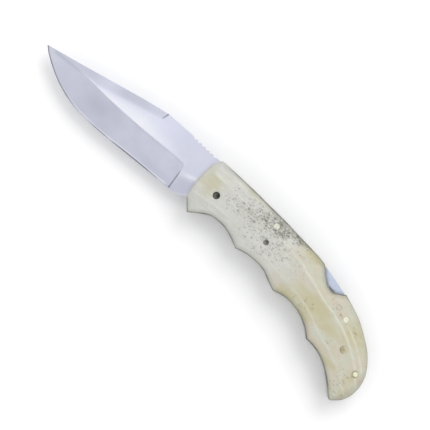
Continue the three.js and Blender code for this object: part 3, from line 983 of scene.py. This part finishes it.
    def bevel_top(self, x: Array, y: Array) -> tuple[Array, Array]:
        """The bevel's upper border, whose rear turns down in a quarter circle, and how far ahead it lies."""
        ahead = self.plunge + along(y, self.plunge_lean) - x
        return Profile(self.grind)(x) - self.corner_radius * rounded(ahead, self.corner_radius), ahead

    def thickness(self, x: Array, y: Array, high: Array) -> Array:
        """Half the thickness: the least of flat side, false edge, bevel and sharpened strip.

        Args:
            x: Places along the blade.
            y: Heights.
            high: Heights of the spine.

        Returns:
            Half the thickness at each point.
        """
        border, ahead = self.bevel_top(x, y)
        line, edge = Profile(self.grind)(x), Profile(self.edge)(x)
        crest = self.side(x, line)
        fall = (crest - self.edge_half) / np.maximum(line - edge, self.bevel_least)
        ground = crest - fall * (border - y) * (1 - rounded(ahead, self.plunge_depth))
        bevel = np.where(ahead > 0, ground, self.half + 1)
        width, thin = self.sharp
        strip = thin + (self.edge_half - thin) / width * (y - edge) + 2 * self.half * fade(x, *self.sharp_end)
        body = lesser(self.side(x, y), bevel, self.bevel_soft)
        body = np.where(x < self.plunge, np.minimum(body, strip), body)
        dip = past(Profile(self.hollow)(x) - y, self.hollow_soft) * math.tan(math.radians(self.hollow_angle))
        body = body - np.where(ahead > 0, 0, dip * fade(x, *self.hollow_end))
        top = self.softness * rounded(high - y, self.softness)
        return np.maximum(body - top * np.clip(body / self.half, 0, 1), self.thin)

    def lie(self, x: Array, y: Array) -> Lie:
        """Where points lie to the blade's lines.

        Args:
            x: Places along the blade.
            y: Heights.

        Returns:
            Their distances, each as an array.
        """
        border, ahead = self.bevel_top(x, y)
        up = y - Profile(self.edge)(x) - along(x, self.edge_look, 2)
        return Lie(x, y, y - border, ahead, up, y - self.false_line(x), Profile(self.hollow)(x) - y)

    def bright(self, at: Lie) -> Array:
        """Painted highlights and reflections on the steel: masks that fall off as bell curves from each line.

        Args:
            at: Where the points lie.

        Returns:
            The strongest of the masks, from 0 to 1.
        """
        middle, half = self.swage_span
        under_swage = np.where(np.abs(at.x - middle) < half, fade(at.beyond, 1.4, -2.6), 1)
        on_bevel = (at.over > 0) & (at.ahead > 0)
        behind = np.maximum.reduce([
            # the hollow's border, the heel's border and the rear of the plunge line
            0.9 * bell(at.below + 0.4, 0.8944) * fade(at.x, -18.6, -14.0),
            0.7 * bell(at.y - Profile(self.heel)(at.x) - 0.3, 0.35) * fade(at.x, -16.0, -14.0),
            0.7 * np.exp(at.ahead / 0.7) * band(at.y, self.plunge_shine),
        ])
        crest = bell(at.over, along(at.x, self.crest_width)) * on_bevel * under_swage
        return np.maximum.reduce([
            along(at.x, self.crest_shine) * crest,
            along(at.x, self.edge_look, 3) * band(at.up, self.strip_shine) * (at.x < self.plunge - 1.5),
            behind * (at.ahead <= 0),
            oval(at.x, at.y, self.glow),
        ])

    def dark(self, at: Lie) -> Array:
        """Painted shade and dark reflections on the steel: masks that fall off as bell curves or smooth
        steps.

        Args:
            at: Where the points lie.

        Returns:
            The strongest of the masks, from 0 to 1.
        """
        x, y, over = at.x, at.y, at.over
        depth = np.clip((self.spine - y) / 3.5, 0, 1)
        step = x - (self.false_edge_rear - 0.05 - 1.05 * depth)
        masks = [
            # the plunge line and its nick, the false edge's rear end, the edge's rim and the spine
            bell(at.ahead - 0.22, 0.26) * fade(y, -1.2, -4.6),
            oval(x, y, self.nick_shade),
            bell(step, 0.3 - 0.16 * depth) * fade(depth, 1.0, 0.85) * (y > 8.5),
            along(x, self.edge_look) * fade(at.up, 0.3, 0.0) * (x < self.plunge),
            0.6 * bell(self.top(x) - y, 0.22) * fade(x, -84.0, -93.0),
            # the false edge, the upper side near the point, and the foot of the bevel's border
            along(x, self.swage_shade) * fade(at.beyond, -1.8, 2.2),
            0.16 * fade(x, -67.0, -79.0) * (over > 0),
            0.14 * bell(over + 0.45, 0.4) * (at.ahead > 0.5) * fade(x, -97.0, -92.0),
            0.32 * bell(over + 0.3, 1.0) * band(x, self.bevel_foot),
            # clouds on the bevel, then the tang, the hollow under it and the flat in front of it
            oval(x, y, self.cloud) * (over < 0),
            0.12 * fade(x, -47.0, -55.0) * (over < 0),
            0.09 * fade(-y, 6.0, 9.0) * fade(x, -44.0, -38.0) * (over < 0),
            (0.05 + 0.13 * fade(at.below, 0.3, 3.0)) * (at.ahead <= 0),
            0.1 * fade(x, -34.0, -22.0) * (over > 0),
        ]
        return np.clip(np.maximum.reduce(masks), 0, 1)

    def build(self, steel: Material) -> None:
        """Makes the blade: rings across it, each up its left side and down its right side.

        Args:
            steel: Its material.
        """
        x = self.columns()
        low = self.bottom(x)
        high = np.maximum(self.top(x), low + 0.03)
        y = self.rows(x, low, high)
        wide = np.broadcast_to(x[:, None], y.shape)
        z = self.thickness(wide, y, high[:, None])
        left, right = np.stack([wide, y, z], 2), np.stack([wide, y, -z], 2)[:, ::-1]
        at = self.lie(wide, y)
        # crest carries the painted highlights, corner the painted shade
        looks = {"crest": self.bright(at), "corner": self.dark(at)}
        masks = {key: np.hstack([value, value[:, ::-1]]) for key, value in looks.items()}
        piece = ring_mesh("blade_ground", np.hstack([left, right]), masks)
        carried(piece, "blade", "blade", "blade_steel", steel)


@dataclass(frozen=True)
class Outline:
    """Outline of the handle: a back that runs from the front to the butt, and a belly with four grooves."""

    front: Points = ((-10.7, 1.0), (-10.36, 6.5), (-9.79, 10.0), (-8.66, 12.1), (-7.29, 13.2))
    spine: Points = (
        (-7.29, 13.2), (9.96, 12.9), (19.95, 12.35), (30.05, 11.85), (40.03, 10.95), (50.02, 10.1),
        (55.02, 9.35), (61.49, 8.0), (68.3, 6.3), (71.81, 5.35), (79.99, 2.4), (84.98, 0.0), (89.97, -3.2),
        (94.97, -7.0), (98.03, -10.2), (100.3, -13.4), (102.01, -17.0), (102.8, -21.5),
    )
    thumb: Points = (
        (53.99, 10.1), (56.49, 8.5), (58.99, 5.7), (61.49, 3.8), (64.55, 2.6), (67.05, 2.8), (70.0, 4.2),
        (72.27, 5.8),
    )
    belly: tuple[Points, ...] = (
        ((-10.7, 1.0), (-10.36, -4.0), (-9.56, -8.6), (-7.98, -10.8)),
        ((-4.91, -14.1), (3.03, -8.8), (8.03, -7.9), (13.02, -8.4), (17.45, -9.9)),
        ((21.53, -11.8), (26.53, -10.5), (31.98, -10.2), (36.97, -10.8), (41.96, -13.0)),
        ((46.05, -14.7), (51.95, -13.4), (56.95, -13.6), (62.05, -14.9), (67.05, -17.4)),
        (
            (71.25, -20.9), (74.99, -21.1), (79.99, -22.3), (84.98, -24.9), (89.97, -28.7), (94.86, -33.2),
            (96.44, -34.0), (98.03, -33.0), (100.76, -30.0), (102.35, -26.0), (102.8, -21.5),
        ),
    )

    def back(self, x: Array) -> Array:
        """Height of the back without the thumb notch."""
        return np.interp(x, *joined((self.front, self.spine)).T)

    def heights(self, x: Array) -> tuple[Array, Array]:
        """Heights of the belly, with its grooves, and of the back, cut down by the thumb notch.

        Args:
            x: Places along the knife.

        Returns:
            Both heights at each of them.
        """
        low = np.interp(x, *joined(self.belly).T)
        notch = np.interp(x, *smooth_line(self.thumb).T, left=np.inf, right=np.inf)
        return low, np.maximum(np.minimum(self.back(x), notch), low + THIN)

    def columns(self) -> Array:
        """Places of the rings: a cosine wave, so that they crowd at both ends, and every corner.

        Returns:
            These places, in order.
        """
        start, *_, end = joined(self.belly)[:, 0]
        even = (start + end) / 2 - (end - start) / 2 * np.cos(np.linspace(0, math.pi, 300))
        corners = [part[i][0] for part in self.belly for i in (0, -1)]
        notch_ends = [np.arange(53.9, 60.0, 0.2), np.arange(70.4, 72.6, 0.2)]
        return spaced([even, corners, [self.spine[0][0]], *notch_ends], 4, JUMP)

    def grid(self, rows: int) -> tuple[Array, Array, Array]:
        """Points over the handle's side, in columns from the belly to the back.

        Args:
            rows: Steps in each column.

        Returns:
            Places, heights and distances from the outline, each as columns by rows.
        """
        x = self.columns()
        low, high = self.heights(x)
        y = np.hstack([crowded(low, high, rows), high[:, None]])
        wide = np.broadcast_to(x[:, None], y.shape)
        edge = np.vstack([np.stack([x, low], 1), np.stack([x, high], 1)[::-1]])
        return wide, y, distance(wide, y, edge)


@dataclass(frozen=True)
class Face:
    """Side of a scale: level between two ridges, sloping away beyond them, once more beyond a third one."""

    top: float = 7.65
    slope_deg: float = 16.0
    butt_slope_deg: float = 7.0
    back_ridge: Points = (
        (-16.0, 7.3), (-7.0, 7.0), (0.0, 6.8), (8.0, 6.5), (27.0, 4.9), (46.5, 3.0), (50.0, 2.0), (55.0, 0.5),
        (60.0, -1.0), (65.0, -2.7), (70.0, -3.8), (75.0, -5.1), (80.0, -6.9), (85.0, -9.2), (90.0, -12.2),
        (95.0, -15.9), (99.0, -19.8), (105.0, -27.0),
    )
    belly_ridge: Points = (
        (-16.0, -6.6), (-9.5, -5.3), (0.0, -4.1), (10.0, -3.7), (20.0, -4.3), (30.0, -5.4), (40.0, -6.5),
        (50.0, -7.9), (58.0, -9.4), (65.0, -11.4), (70.0, -13.7), (75.0, -15.7), (80.0, -17.3), (85.0, -19.2),
        (88.0, -20.5), (92.0, -22.7), (96.0, -25.6), (100.2, -28.8), (104.0, -32.0),
    )
    butt_ridge: Points = (
        (70.0, -0.4), (78.0, -3.5), (83.0, -5.2), (88.0, -7.8), (92.0, -10.2), (96.0, -13.2), (99.0, -15.9),
        (104.0, -21.0),
    )
    softness: float = 0.14
    shine: Points = ((-10.0, 1.0), (4.0, 0.95), (13.0, 0.25), (41.0, 0.3), (48.0, 1.0), (103.0, 0.85))
    shine_width: float = 0.45
    lead_in: Pair = (-2.0, 3.0)

    def height(self, x: Array, y: Array) -> tuple[Array, Array]:
        """Height of the surface: the top, less a softened ramp for each ridge that a point is beyond.

        Args:
            x: Places along the handle.
            y: Heights.

        Returns:
            The height across the knife, and the strength of the painted highlight along the ridges, from 0 to
            1.
        """
        z, near = np.full_like(x, self.top), np.zeros_like(x)
        for ridge, towards_back, slope, shine in (
            (self.back_ridge, 1, self.slope_deg, 0.9),
            (self.belly_ridge, -1, self.slope_deg, 0.6),
            (self.butt_ridge, 1, self.butt_slope_deg, 0.8),
        ):
            beyond = towards_back * distance(x, y, smooth_line(ridge, 6), keep_side=True)
            start, end = self.lead_in
            share = fade(x, ridge[1][0] + start, ridge[1][0] + end)
            z = z - past(beyond, self.softness) * math.tan(math.radians(slope)) * share
            glint = shine * bell(beyond, self.shine_width) * along(x, self.shine) * share
            near = np.maximum(near, glint)
        return z, near


@dataclass
class Scale:
    """One bone scale, with a rounded rim and open holes over the sunk pins."""

    side: Side
    outline: Outline
    face: Face
    foot: float = 3.05
    rows: int = 72
    rim_radius: float = 1.3
    # place, radius and floor of each hole, then the depth and the reach of its worn mouth
    holes: Table = (
        (0.0, 0.0, 1.65, 0.0), (29.9, -0.9, 1.3, 0.0), (86.4, -13.45, 1.62, 0.0), (97.35, -18.15, 1.6, 6.9),
    )
    mouth: tuple[float, float, float] = (0.3, 0.6, -0.1)
    # widths of the painted dark line along the outline, and its strengths
    back_line: Points = (
        (0.0, 0.8), (8.0, 1.2), (40.0, 1.3), (54.0, 0.9), (61.0, 0.8), (63.0, 1.4), (67.0, 1.4), (69.0, 0.8),
    )
    belly_line: Points = ((60.0, 0.9), (72.0, 1.15), (94.0, 1.25), (97.0, 0.8))
    back_dark: Points = (
        (-10.7, 0.2), (-7.0, 0.5), (0.0, 0.9), (56.0, 1.0), (60.0, 0.8), (71.0, 1.0), (74.0, 0.6),
        (103.0, 0.55),
    )
    belly_dark: Points = ((-10.7, 0.3), (-9.0, 0.75), (0.0, 1.0), (90.0, 1.0), (96.0, 0.8), (103.0, 0.5))
    dusk: Points = ((42.0, 0.25), (50.0, 0.36), (64.0, 0.36), (72.0, 0.25))
    dusk_width: Pair = (2.6, 0.6)
    # where the butt's lower corner is, with how much wider and stronger its shade is
    butt: tuple[Pair, Pair] = ((95.0, 100.0), (-14.0, -18.0))
    butt_more: Pair = (1.8, 0.25)
    # the front edge, whose painted shade is mostly left off in the middle and less so towards the back
    unshaded: tuple[Pair, Pair, Pair] = ((-5.0, -8.5), (-9.5, -8.0), (8.0, 12.0))
    unshaded_share: Pair = (0.85, 0.6)

    def rim(self, x: Array, y: Array, inside: Array) -> tuple[Array, Array]:
        """Painted shade near the outline: a narrow dark line, in a soft shade that is wider at the butt.

        Args:
            x: Places along the handle.
            y: Heights.
            inside: Distances from the outline.

        Returns:
            The darkness, and the shade by itself, from 0 to 1.
        """
        upper = y > (y[:, :1] + y[:, -1:]) / 2
        width = np.where(upper, along(x, self.back_line), along(x, self.belly_line))
        line = fade(inside / width, 1.0, 0.25)
        butt = fade(x, *self.butt[0]) * fade(y, *self.butt[1])
        wider, more = self.butt_more
        shade = fade(inside, self.dusk_width[0] + wider * butt, self.dusk_width[1])
        dark = np.maximum(line, (along(x, self.dusk) + more * butt) * shade)
        dark = dark * np.where(upper, along(x, self.back_dark), along(x, self.belly_dark))
        front, middle, back = (fade(value, *ends) for value, ends in zip((x, y, y), self.unshaded))
        return dark * (1 - self.unshaded_share[0] * front * middle * (1 - self.unshaded_share[1] * back)), shade

    def build(self, bone: Material) -> None:
        """Makes the scale: rings across it, up its wall, over its face and down again.

        Args:
            bone: Its material.
        """
        x, y, inside = self.outline.grid(self.rows)
        z, ridge = self.face.height(x, y)
        z = z - self.rim_radius * rounded(inside, self.rim_radius)
        depth, outer, inner = self.mouth
        for hx, hy, radius, _ in self.holes:
            z = z - depth * fade(np.hypot(x - hx, y - hy), radius + outer, radius + inner)
        dark, shade = self.rim(x, y, inside)
        pad = ((0, 0), (1, 1))
        z = np.pad(z, pad, constant_values=self.foot) * self.side.value
        rings = np.stack([np.pad(x, pad, "edge"), np.pad(y, pad, "edge"), z], 2)
        masks = {"rim": np.pad(dark, pad, "edge"), "ridge": np.pad(ridge * (1 - shade), pad)}
        name = self.side.name.lower()
        piece = ring_mesh(f"{name}_bone", rings, masks)
        self.drill(piece)
        carried(piece, "handle", f"{name}_scale", "bone", bone)

    def drill(self, piece: Piece) -> None:
        """Cuts the holes and keeps the result as the piece's mesh.

        Args:
            piece: The scale.
        """
        cutters = []
        above, closed = 9.0, 0.001
        for number, (x, y, radius, floor) in enumerate(self.holes):
            z = np.array([[floor], [floor], [above], [above]]) * self.side.value
            profile = np.array([closed, radius, radius, closed])
            cutters.append(turned_mesh(f"drill_{number}", x, y, profile, z))
            cut = piece.modifiers.new(f"drill_{number}", "BOOLEAN")
            cut.object, cut.operation, cut.solver = cutters[-1], "DIFFERENCE", "EXACT"
        bpy.context.view_layer.update()
        drilled = bpy.data.meshes.new_from_object(piece.evaluated_get(bpy.context.evaluated_depsgraph_get()))
        piece.modifiers.clear()
        old, piece.data = piece.data, drilled
        bpy.data.meshes.remove(old)
        drilled.materials.clear()
        drilled.set_sharp_from_angle(angle=SHARP)
        for cutter in cutters:
            bpy.data.objects.remove(cutter)


@dataclass
class Liner:
    """One steel liner under a scale, which stands out in front of it."""

    side: Side
    outline: Outline
    bottom: float = 1.85
    top: float = 3.05
    lip: float = 0.5
    lip_end: Pair = (-3.5, -6.5)
    edge_radius: float = 0.15

    def build(self, steel: Material) -> None:
        """Makes the liner: the handle's outline, drawn forward at its front, as a flat bar.

        Args:
            steel: Its material.
        """
        x = self.outline.columns()
        drawn = x - self.lip * fade(x, *self.lip_end)
        near, far = sorted((self.bottom * self.side.value, self.top * self.side.value))
        name = self.side.name.lower()
        heights = self.outline.heights(x)
        piece = slab_mesh(f"{name}_liner_plate", drawn, heights, (near, far), self.edge_radius)
        carried(piece, "handle", f"{name}_liner", "liner_steel", steel)


@dataclass
class LockBar:
    """The rocking bar along the back, with its hook over the tang, shown lifted."""

    outline: Outline
    half: float = 1.75
    hook: Pair = (-5.2, -0.2)
    tip: float = 7.5
    sink: float = 0.08
    pin: float = 28.8
    rear_angle: float = 0.5
    rear_round: Pair = (2.2, 0.9)
    travel: float = 2.0
    nose: float = 0.05
    steps: tuple[int, int] = (12, 120)
    edge_radius: float = 0.25
    underside: Points = (
        (-0.2, 8.7), (7.46, 8.6), (13.14, 7.45), (17.68, 7.1), (21.87, 6.4), (25.62, 5.3), (28.8, 4.9),
        (32.43, 5.0), (40.38, 5.2), (48.32, 4.7), (56.0, 3.7), (61.0, 2.9), (67.0, 2.3), (73.29, 0.9),
    )
    # strength and width of the painted shade along the thumb notch
    notch_shade: Points = (
        (56.0, 0.3), (58.0, 0.6), (63.6, 0.65), (64.0, 1.3), (66.6, 1.3), (67.2, 0.4), (71.0, 0.4),
    )
    notch_shade_width: Points = ((58.0, 1.0), (61.5, 1.0), (62.5, 0.7), (71.0, 0.5))

    def build(self, steel: Material) -> None:
        """Makes the bar: from the underside's curve up to the back, less what its rear is cut lower.

        The rear is lower by a straight slope from the pin on, and over its last length by a parabola.

        Args:
            steel: Its material.
        """
        (front, behind), rear = self.hook, self.underside[-1][0]
        x = np.concatenate([
            front + np.array([0.0, 0.05, 0.1, 0.15]),
            np.linspace(front + 0.2, behind - JUMP, self.steps[0]),
            np.linspace(behind + JUMP, rear, self.steps[1]),
        ])
        low = np.where(x < behind, self.tip, np.interp(x, *smooth_line(self.underside).T))
        length, drop = self.rear_round
        cut = np.maximum(0, x - self.pin) * math.tan(math.radians(self.rear_angle))
        cut += drop * np.clip((x - rear + length) / length, 0, 1) ** 2
        lean = self.tip + self.nose + (x - front) / math.tan(math.radians(self.travel))
        high = np.minimum(self.outline.back(x) - self.sink - cut, lean)
        sides = (-self.half, self.half)
        piece = slab_mesh("lock_bar_ground", x, (low, high), sides, self.edge_radius, self.painted_shade)
        carried(piece, "lock_bar", "lock_bar", "spring_steel", steel)

    def painted_shade(self, x: Array, y: Array) -> Array:
        """Painted shade along the thumb notch, where the bone's wall shades the bar, darkest at its bottom: a
        bell curve of the distance from its line.
        """
        wall = distance(x, y, smooth_line(self.outline.thumb))
        return np.clip(along(x, self.notch_shade) * bell(wall, along(x, self.notch_shade_width)), 0, 1)


@dataclass
class Pin:
    """A pin across the handle, ground to the slope of the scales, with its ends softly domed."""

    node: str
    x: float
    y: float
    radius: float
    sunk: float = 0.0
    slot: str = "brass"
    chamfer: float = 0.2
    dome: float = 0.12
    proud: float = 0.03

    def build(self, face: Face, finish: Material) -> None:
        """Makes the pin: a parabola over its end, then a quarter circle at its rim.

        Args:
            face: Side of the scales, that its ends follow.
            finish: Its material.
        """
        steps = 6
        turn = np.linspace(0, math.pi / 2, steps)[1:]
        inner = self.radius - self.chamfer
        radius = np.concatenate([np.linspace(0.001, inner, steps), inner + self.chamfer * np.sin(turn)])
        dome = self.dome * (1 - (radius / self.radius) ** 2)
        dome[steps:] -= self.chamfer * (1 - np.cos(turn))
        surface, _ = face.height(*circles(self.x, self.y, radius))
        end = surface - self.sunk + self.proud + dome[:, None]
        both = np.concatenate([radius, radius[::-1]])
        piece = turned_mesh(f"{self.node}_head", self.x, self.y, both, np.vstack([end, -end[::-1]]))
        carried(piece, "handle", self.node, self.slot, finish)


# Stage


@dataclass
class Studio:
    """Camera, floor, lamp and sky."""

    picture_mm: float = 189.2
    middle: Color = (5.22, -6.78, 2.0)
    roll_deg: float = 41.7
    away: float = 0.9
    sensor_mm: float = 36.0
    floor_half: float = 3.0
    floor_gap: float = 0.03
    paper: tuple[Color, Color] = ((0.9, 0.9, 0.9), (0.84, 0.84, 0.85))
    paper_scale: float = 900.0
    glow: float = 0.06
    lamp_place: Color = (0.04, 0.73, 0.87)
    lamp_size: float = 0.68
    lamp_power: float = 4.9
    # brightness of the sky in a band in front, above, behind and low in front, and where it changes
    tent: Four = (0.56, 1.04, 0.8, 1.0)
    band_above: Pair = (-0.24, -0.01)
    band_below: Pair = (-0.45, -0.31)
    rear_slope: Pair = (0.14, 0.5)

    def camera(self) -> None:
        """A long lens straight above the knife, rolled as the photograph is."""
        data = bpy.data.cameras.new("camera")
        data.sensor_width = self.sensor_mm
        data.lens = self.sensor_mm * self.away / (self.picture_mm * MM)
        eye = shown("camera", data)
        eye.location = (np.array(self.middle) + PIVOT) * MM + np.array([0, 0, self.away])
        eye.rotation_euler = (0, 0, math.radians(self.roll_deg))
        bpy.context.scene.camera = eye

    def floor(self) -> None:
        """A white sheet, level under the knife, that keeps its shadow and is clear from below."""
        mesh = bpy.data.meshes.new("floor")
        corners = [(-1, -1), (1, -1), (1, 1), (-1, 1)]
        points = [(x * self.floor_half, y * self.floor_half, -self.floor_gap * MM) for x, y in corners]
        mesh.from_pydata(points, [], [(0, 1, 2, 3)])
        sheet = shown("floor", mesh)
        material = bpy.data.materials.new("white_sheet")
        material.use_nodes = True
        graph = Graph(material.node_tree)
        fibres = graph.noise(graph.add("ShaderNodeTexCoord").outputs["Object"], self.paper_scale, 2.0)
        rays = graph.add("ShaderNodeLightPath").outputs
        mirrored = graph.math("MAXIMUM", rays["Is Glossy Ray"], rays["Is Transmission Ray"])
        seen = graph.math("MAXIMUM", rays["Is Camera Ray"], mirrored)
        matte = graph.add(
            "ShaderNodeBsdfPrincipled",
            Base_Color=graph.mix(graph.times(fibres, 0.05), *self.paper),
            Roughness=0.9,
            Specular_IOR_Level=0.1,
            Emission_Strength=graph.times(seen, self.glow),
            Emission_Color=WHITE,
        )
        clear = graph.add("ShaderNodeBsdfTransparent").outputs[0]
        below = graph.add("ShaderNodeNewGeometry").outputs["Backfacing"]
        sided = graph.add("ShaderNodeMixShader", i0=below, i1=matte.outputs[0], i2=clear)
        graph.add("ShaderNodeOutputMaterial", Surface=sided.outputs[0])
        mesh.materials.append(material)

    def lamp(self) -> None:
        """A square soft lamp that faces the knife."""
        data = bpy.data.lights.new("window", "AREA")
        data.size, data.energy, data.color = self.lamp_size, self.lamp_power, WHITE
        lamp = shown("window", data)
        lamp.location = self.lamp_place
        lamp.rotation_euler = (-lamp.location).to_track_quat("-Z", "Y").to_euler()
        lamp.visible_glossy = False

    def sky(self) -> None:
        """A tent of white cloth, brightest above, with a darker band in front, and white to the camera."""
        world = bpy.data.worlds.new("studio")
        bpy.context.scene.world = world
        world.use_nodes = True
        graph = Graph(world.node_tree)
        band_glow, above, behind, low = self.tent
        where = graph.add("ShaderNodeTexCoord").outputs["Generated"]
        across = graph.add("ShaderNodeSeparateXYZ", Vector=where).outputs["Y"]
        front = graph.ramp(across, *self.band_above, band_glow, above)
        foot = graph.ramp(across, *self.band_below, low - band_glow, 0.0)
        rear = graph.ramp(across, *self.rear_slope, 0.0, above - behind)
        cloth = graph.minus(graph.plus(front, foot), rear)
        seen = graph.add("ShaderNodeLightPath").outputs["Is Camera Ray"]
        strength = graph.plus(cloth, graph.times(seen, graph.minus(1.0, cloth)))
        light = graph.add("ShaderNodeBackground", Color=WHITE, Strength=strength)
        graph.add("ShaderNodeOutputWorld", Surface=light.outputs[0])

    def build(self) -> None:
        """Sets up the whole stage."""
        self.camera()
        self.floor()
        self.sky()
        self.lamp()
        bpy.context.scene.view_settings.view_transform = "Standard"


def main() -> None:
    """Builds every piece in order and reports it."""
    logging.basicConfig(level=logging.INFO, format="%(name)s: %(message)s")
    shared = Shared()
    # the blue tint of these steels is a painted reflection of cool light
    blade_steel = Steel("blade_steel", (0.765, 0.785, 0.92), (0.715, 0.735, 0.87)).make(shared)
    bar_steel = Steel("bar_steel", (0.66, 0.73, 0.88), (0.56, 0.62, 0.76), roughness=0.32).make(shared)
    liner_steel = Steel("liner_steel", (0.76, 0.77, 0.82), (0.62, 0.63, 0.68), roughness=0.36).make(shared)
    # painted shade on one side of the pins and rivets
    deep = HoleShade((0.6, 0.4), (2.2, 2.0), (0.07, 0.07, 0.06))
    dusk = HoleShade((30.2, -0.4), (1.6, 1.6), (0.2, 0.195, 0.17))
    spacer_shade = HoleShade((85.9, -13.8), (2.4, 2.4), (0.45, 0.4, 0.26))
    shadow = HoleShade((29.1, 6.0), (2.0, 1.3), (0.5, 0.5, 0.42))
    old = {"roughness": 0.5, "lines": 2.0}
    dull_steel = Steel("dull_steel", (0.54, 0.53, 0.48), (0.34, 0.34, 0.3), **old, hole_shade=deep).make(shared)
    grey_steel = Steel("grey_steel", (0.56, 0.55, 0.5), (0.42, 0.41, 0.36), **old, hole_shade=dusk).make(shared)
    brass = Brass("pale_brass", (0.97, 0.95, 0.78), (0.8, 0.74, 0.48)).make(shared)
    dim_brass = Brass("dim_brass", (0.87, 0.87, 0.75), (0.74, 0.7, 0.5), hole_shade=shadow).make(shared)
    green_brass = Brass("green_brass", (0.95, 0.96, 0.7), (0.7, 0.7, 0.4)).make(shared)
    # the spacer pin's browner brass is partly its tarnish and partly painted shade of its sunk hole
    brown = {"roughness": 0.5, "aged": 0.6, "hole_shade": spacer_shade}
    brown_brass = Brass("brown_brass", (0.8, 0.76, 0.55), (0.6, 0.54, 0.34), **brown).make(shared)
    bone = Bone().make(shared)

    outline, face = Outline(), Face()
    Blade().build(blade_steel)
    for side in Side:
        Scale(side, outline, face).build(bone)
        Liner(side, outline).build(liner_steel)
    LockBar(outline).build(bar_steel)
    for pin, finish in (
        (Pin("lock_bar_pin", 28.8, 7.4, 1.4), dim_brass),
        (Pin("rear_pin", 78.62, -2.8, 1.25), brass),
        (Pin("butt_pin", 97.5, -18.0, 1.1, sunk=0.05), green_brass),
        (Pin("spacer_pin", 86.46, -13.4, 1.6, sunk=0.3), brown_brass),
        (Pin("pivot_pin", 0.0, 0.0, 1.6, sunk=4.0, slot="liner_steel"), dull_steel),
    ):
        pin.build(face, finish)
    for finish, *nodes in (
        (bar_steel, "lock_spring", "backspacer"),
        (brass, "left_washer", "right_washer"),
        (grey_steel, "left_scale_rivet", "right_scale_rivet"),
    ):
        for node in nodes:
            mesh = frame["nodes"][node].data
            mesh.materials.clear()
            mesh.materials.append(finish)
            LOG.info("%s: finish %s", node, finish.name)
    Studio().build()


if __name__ == "__main__":
    main()
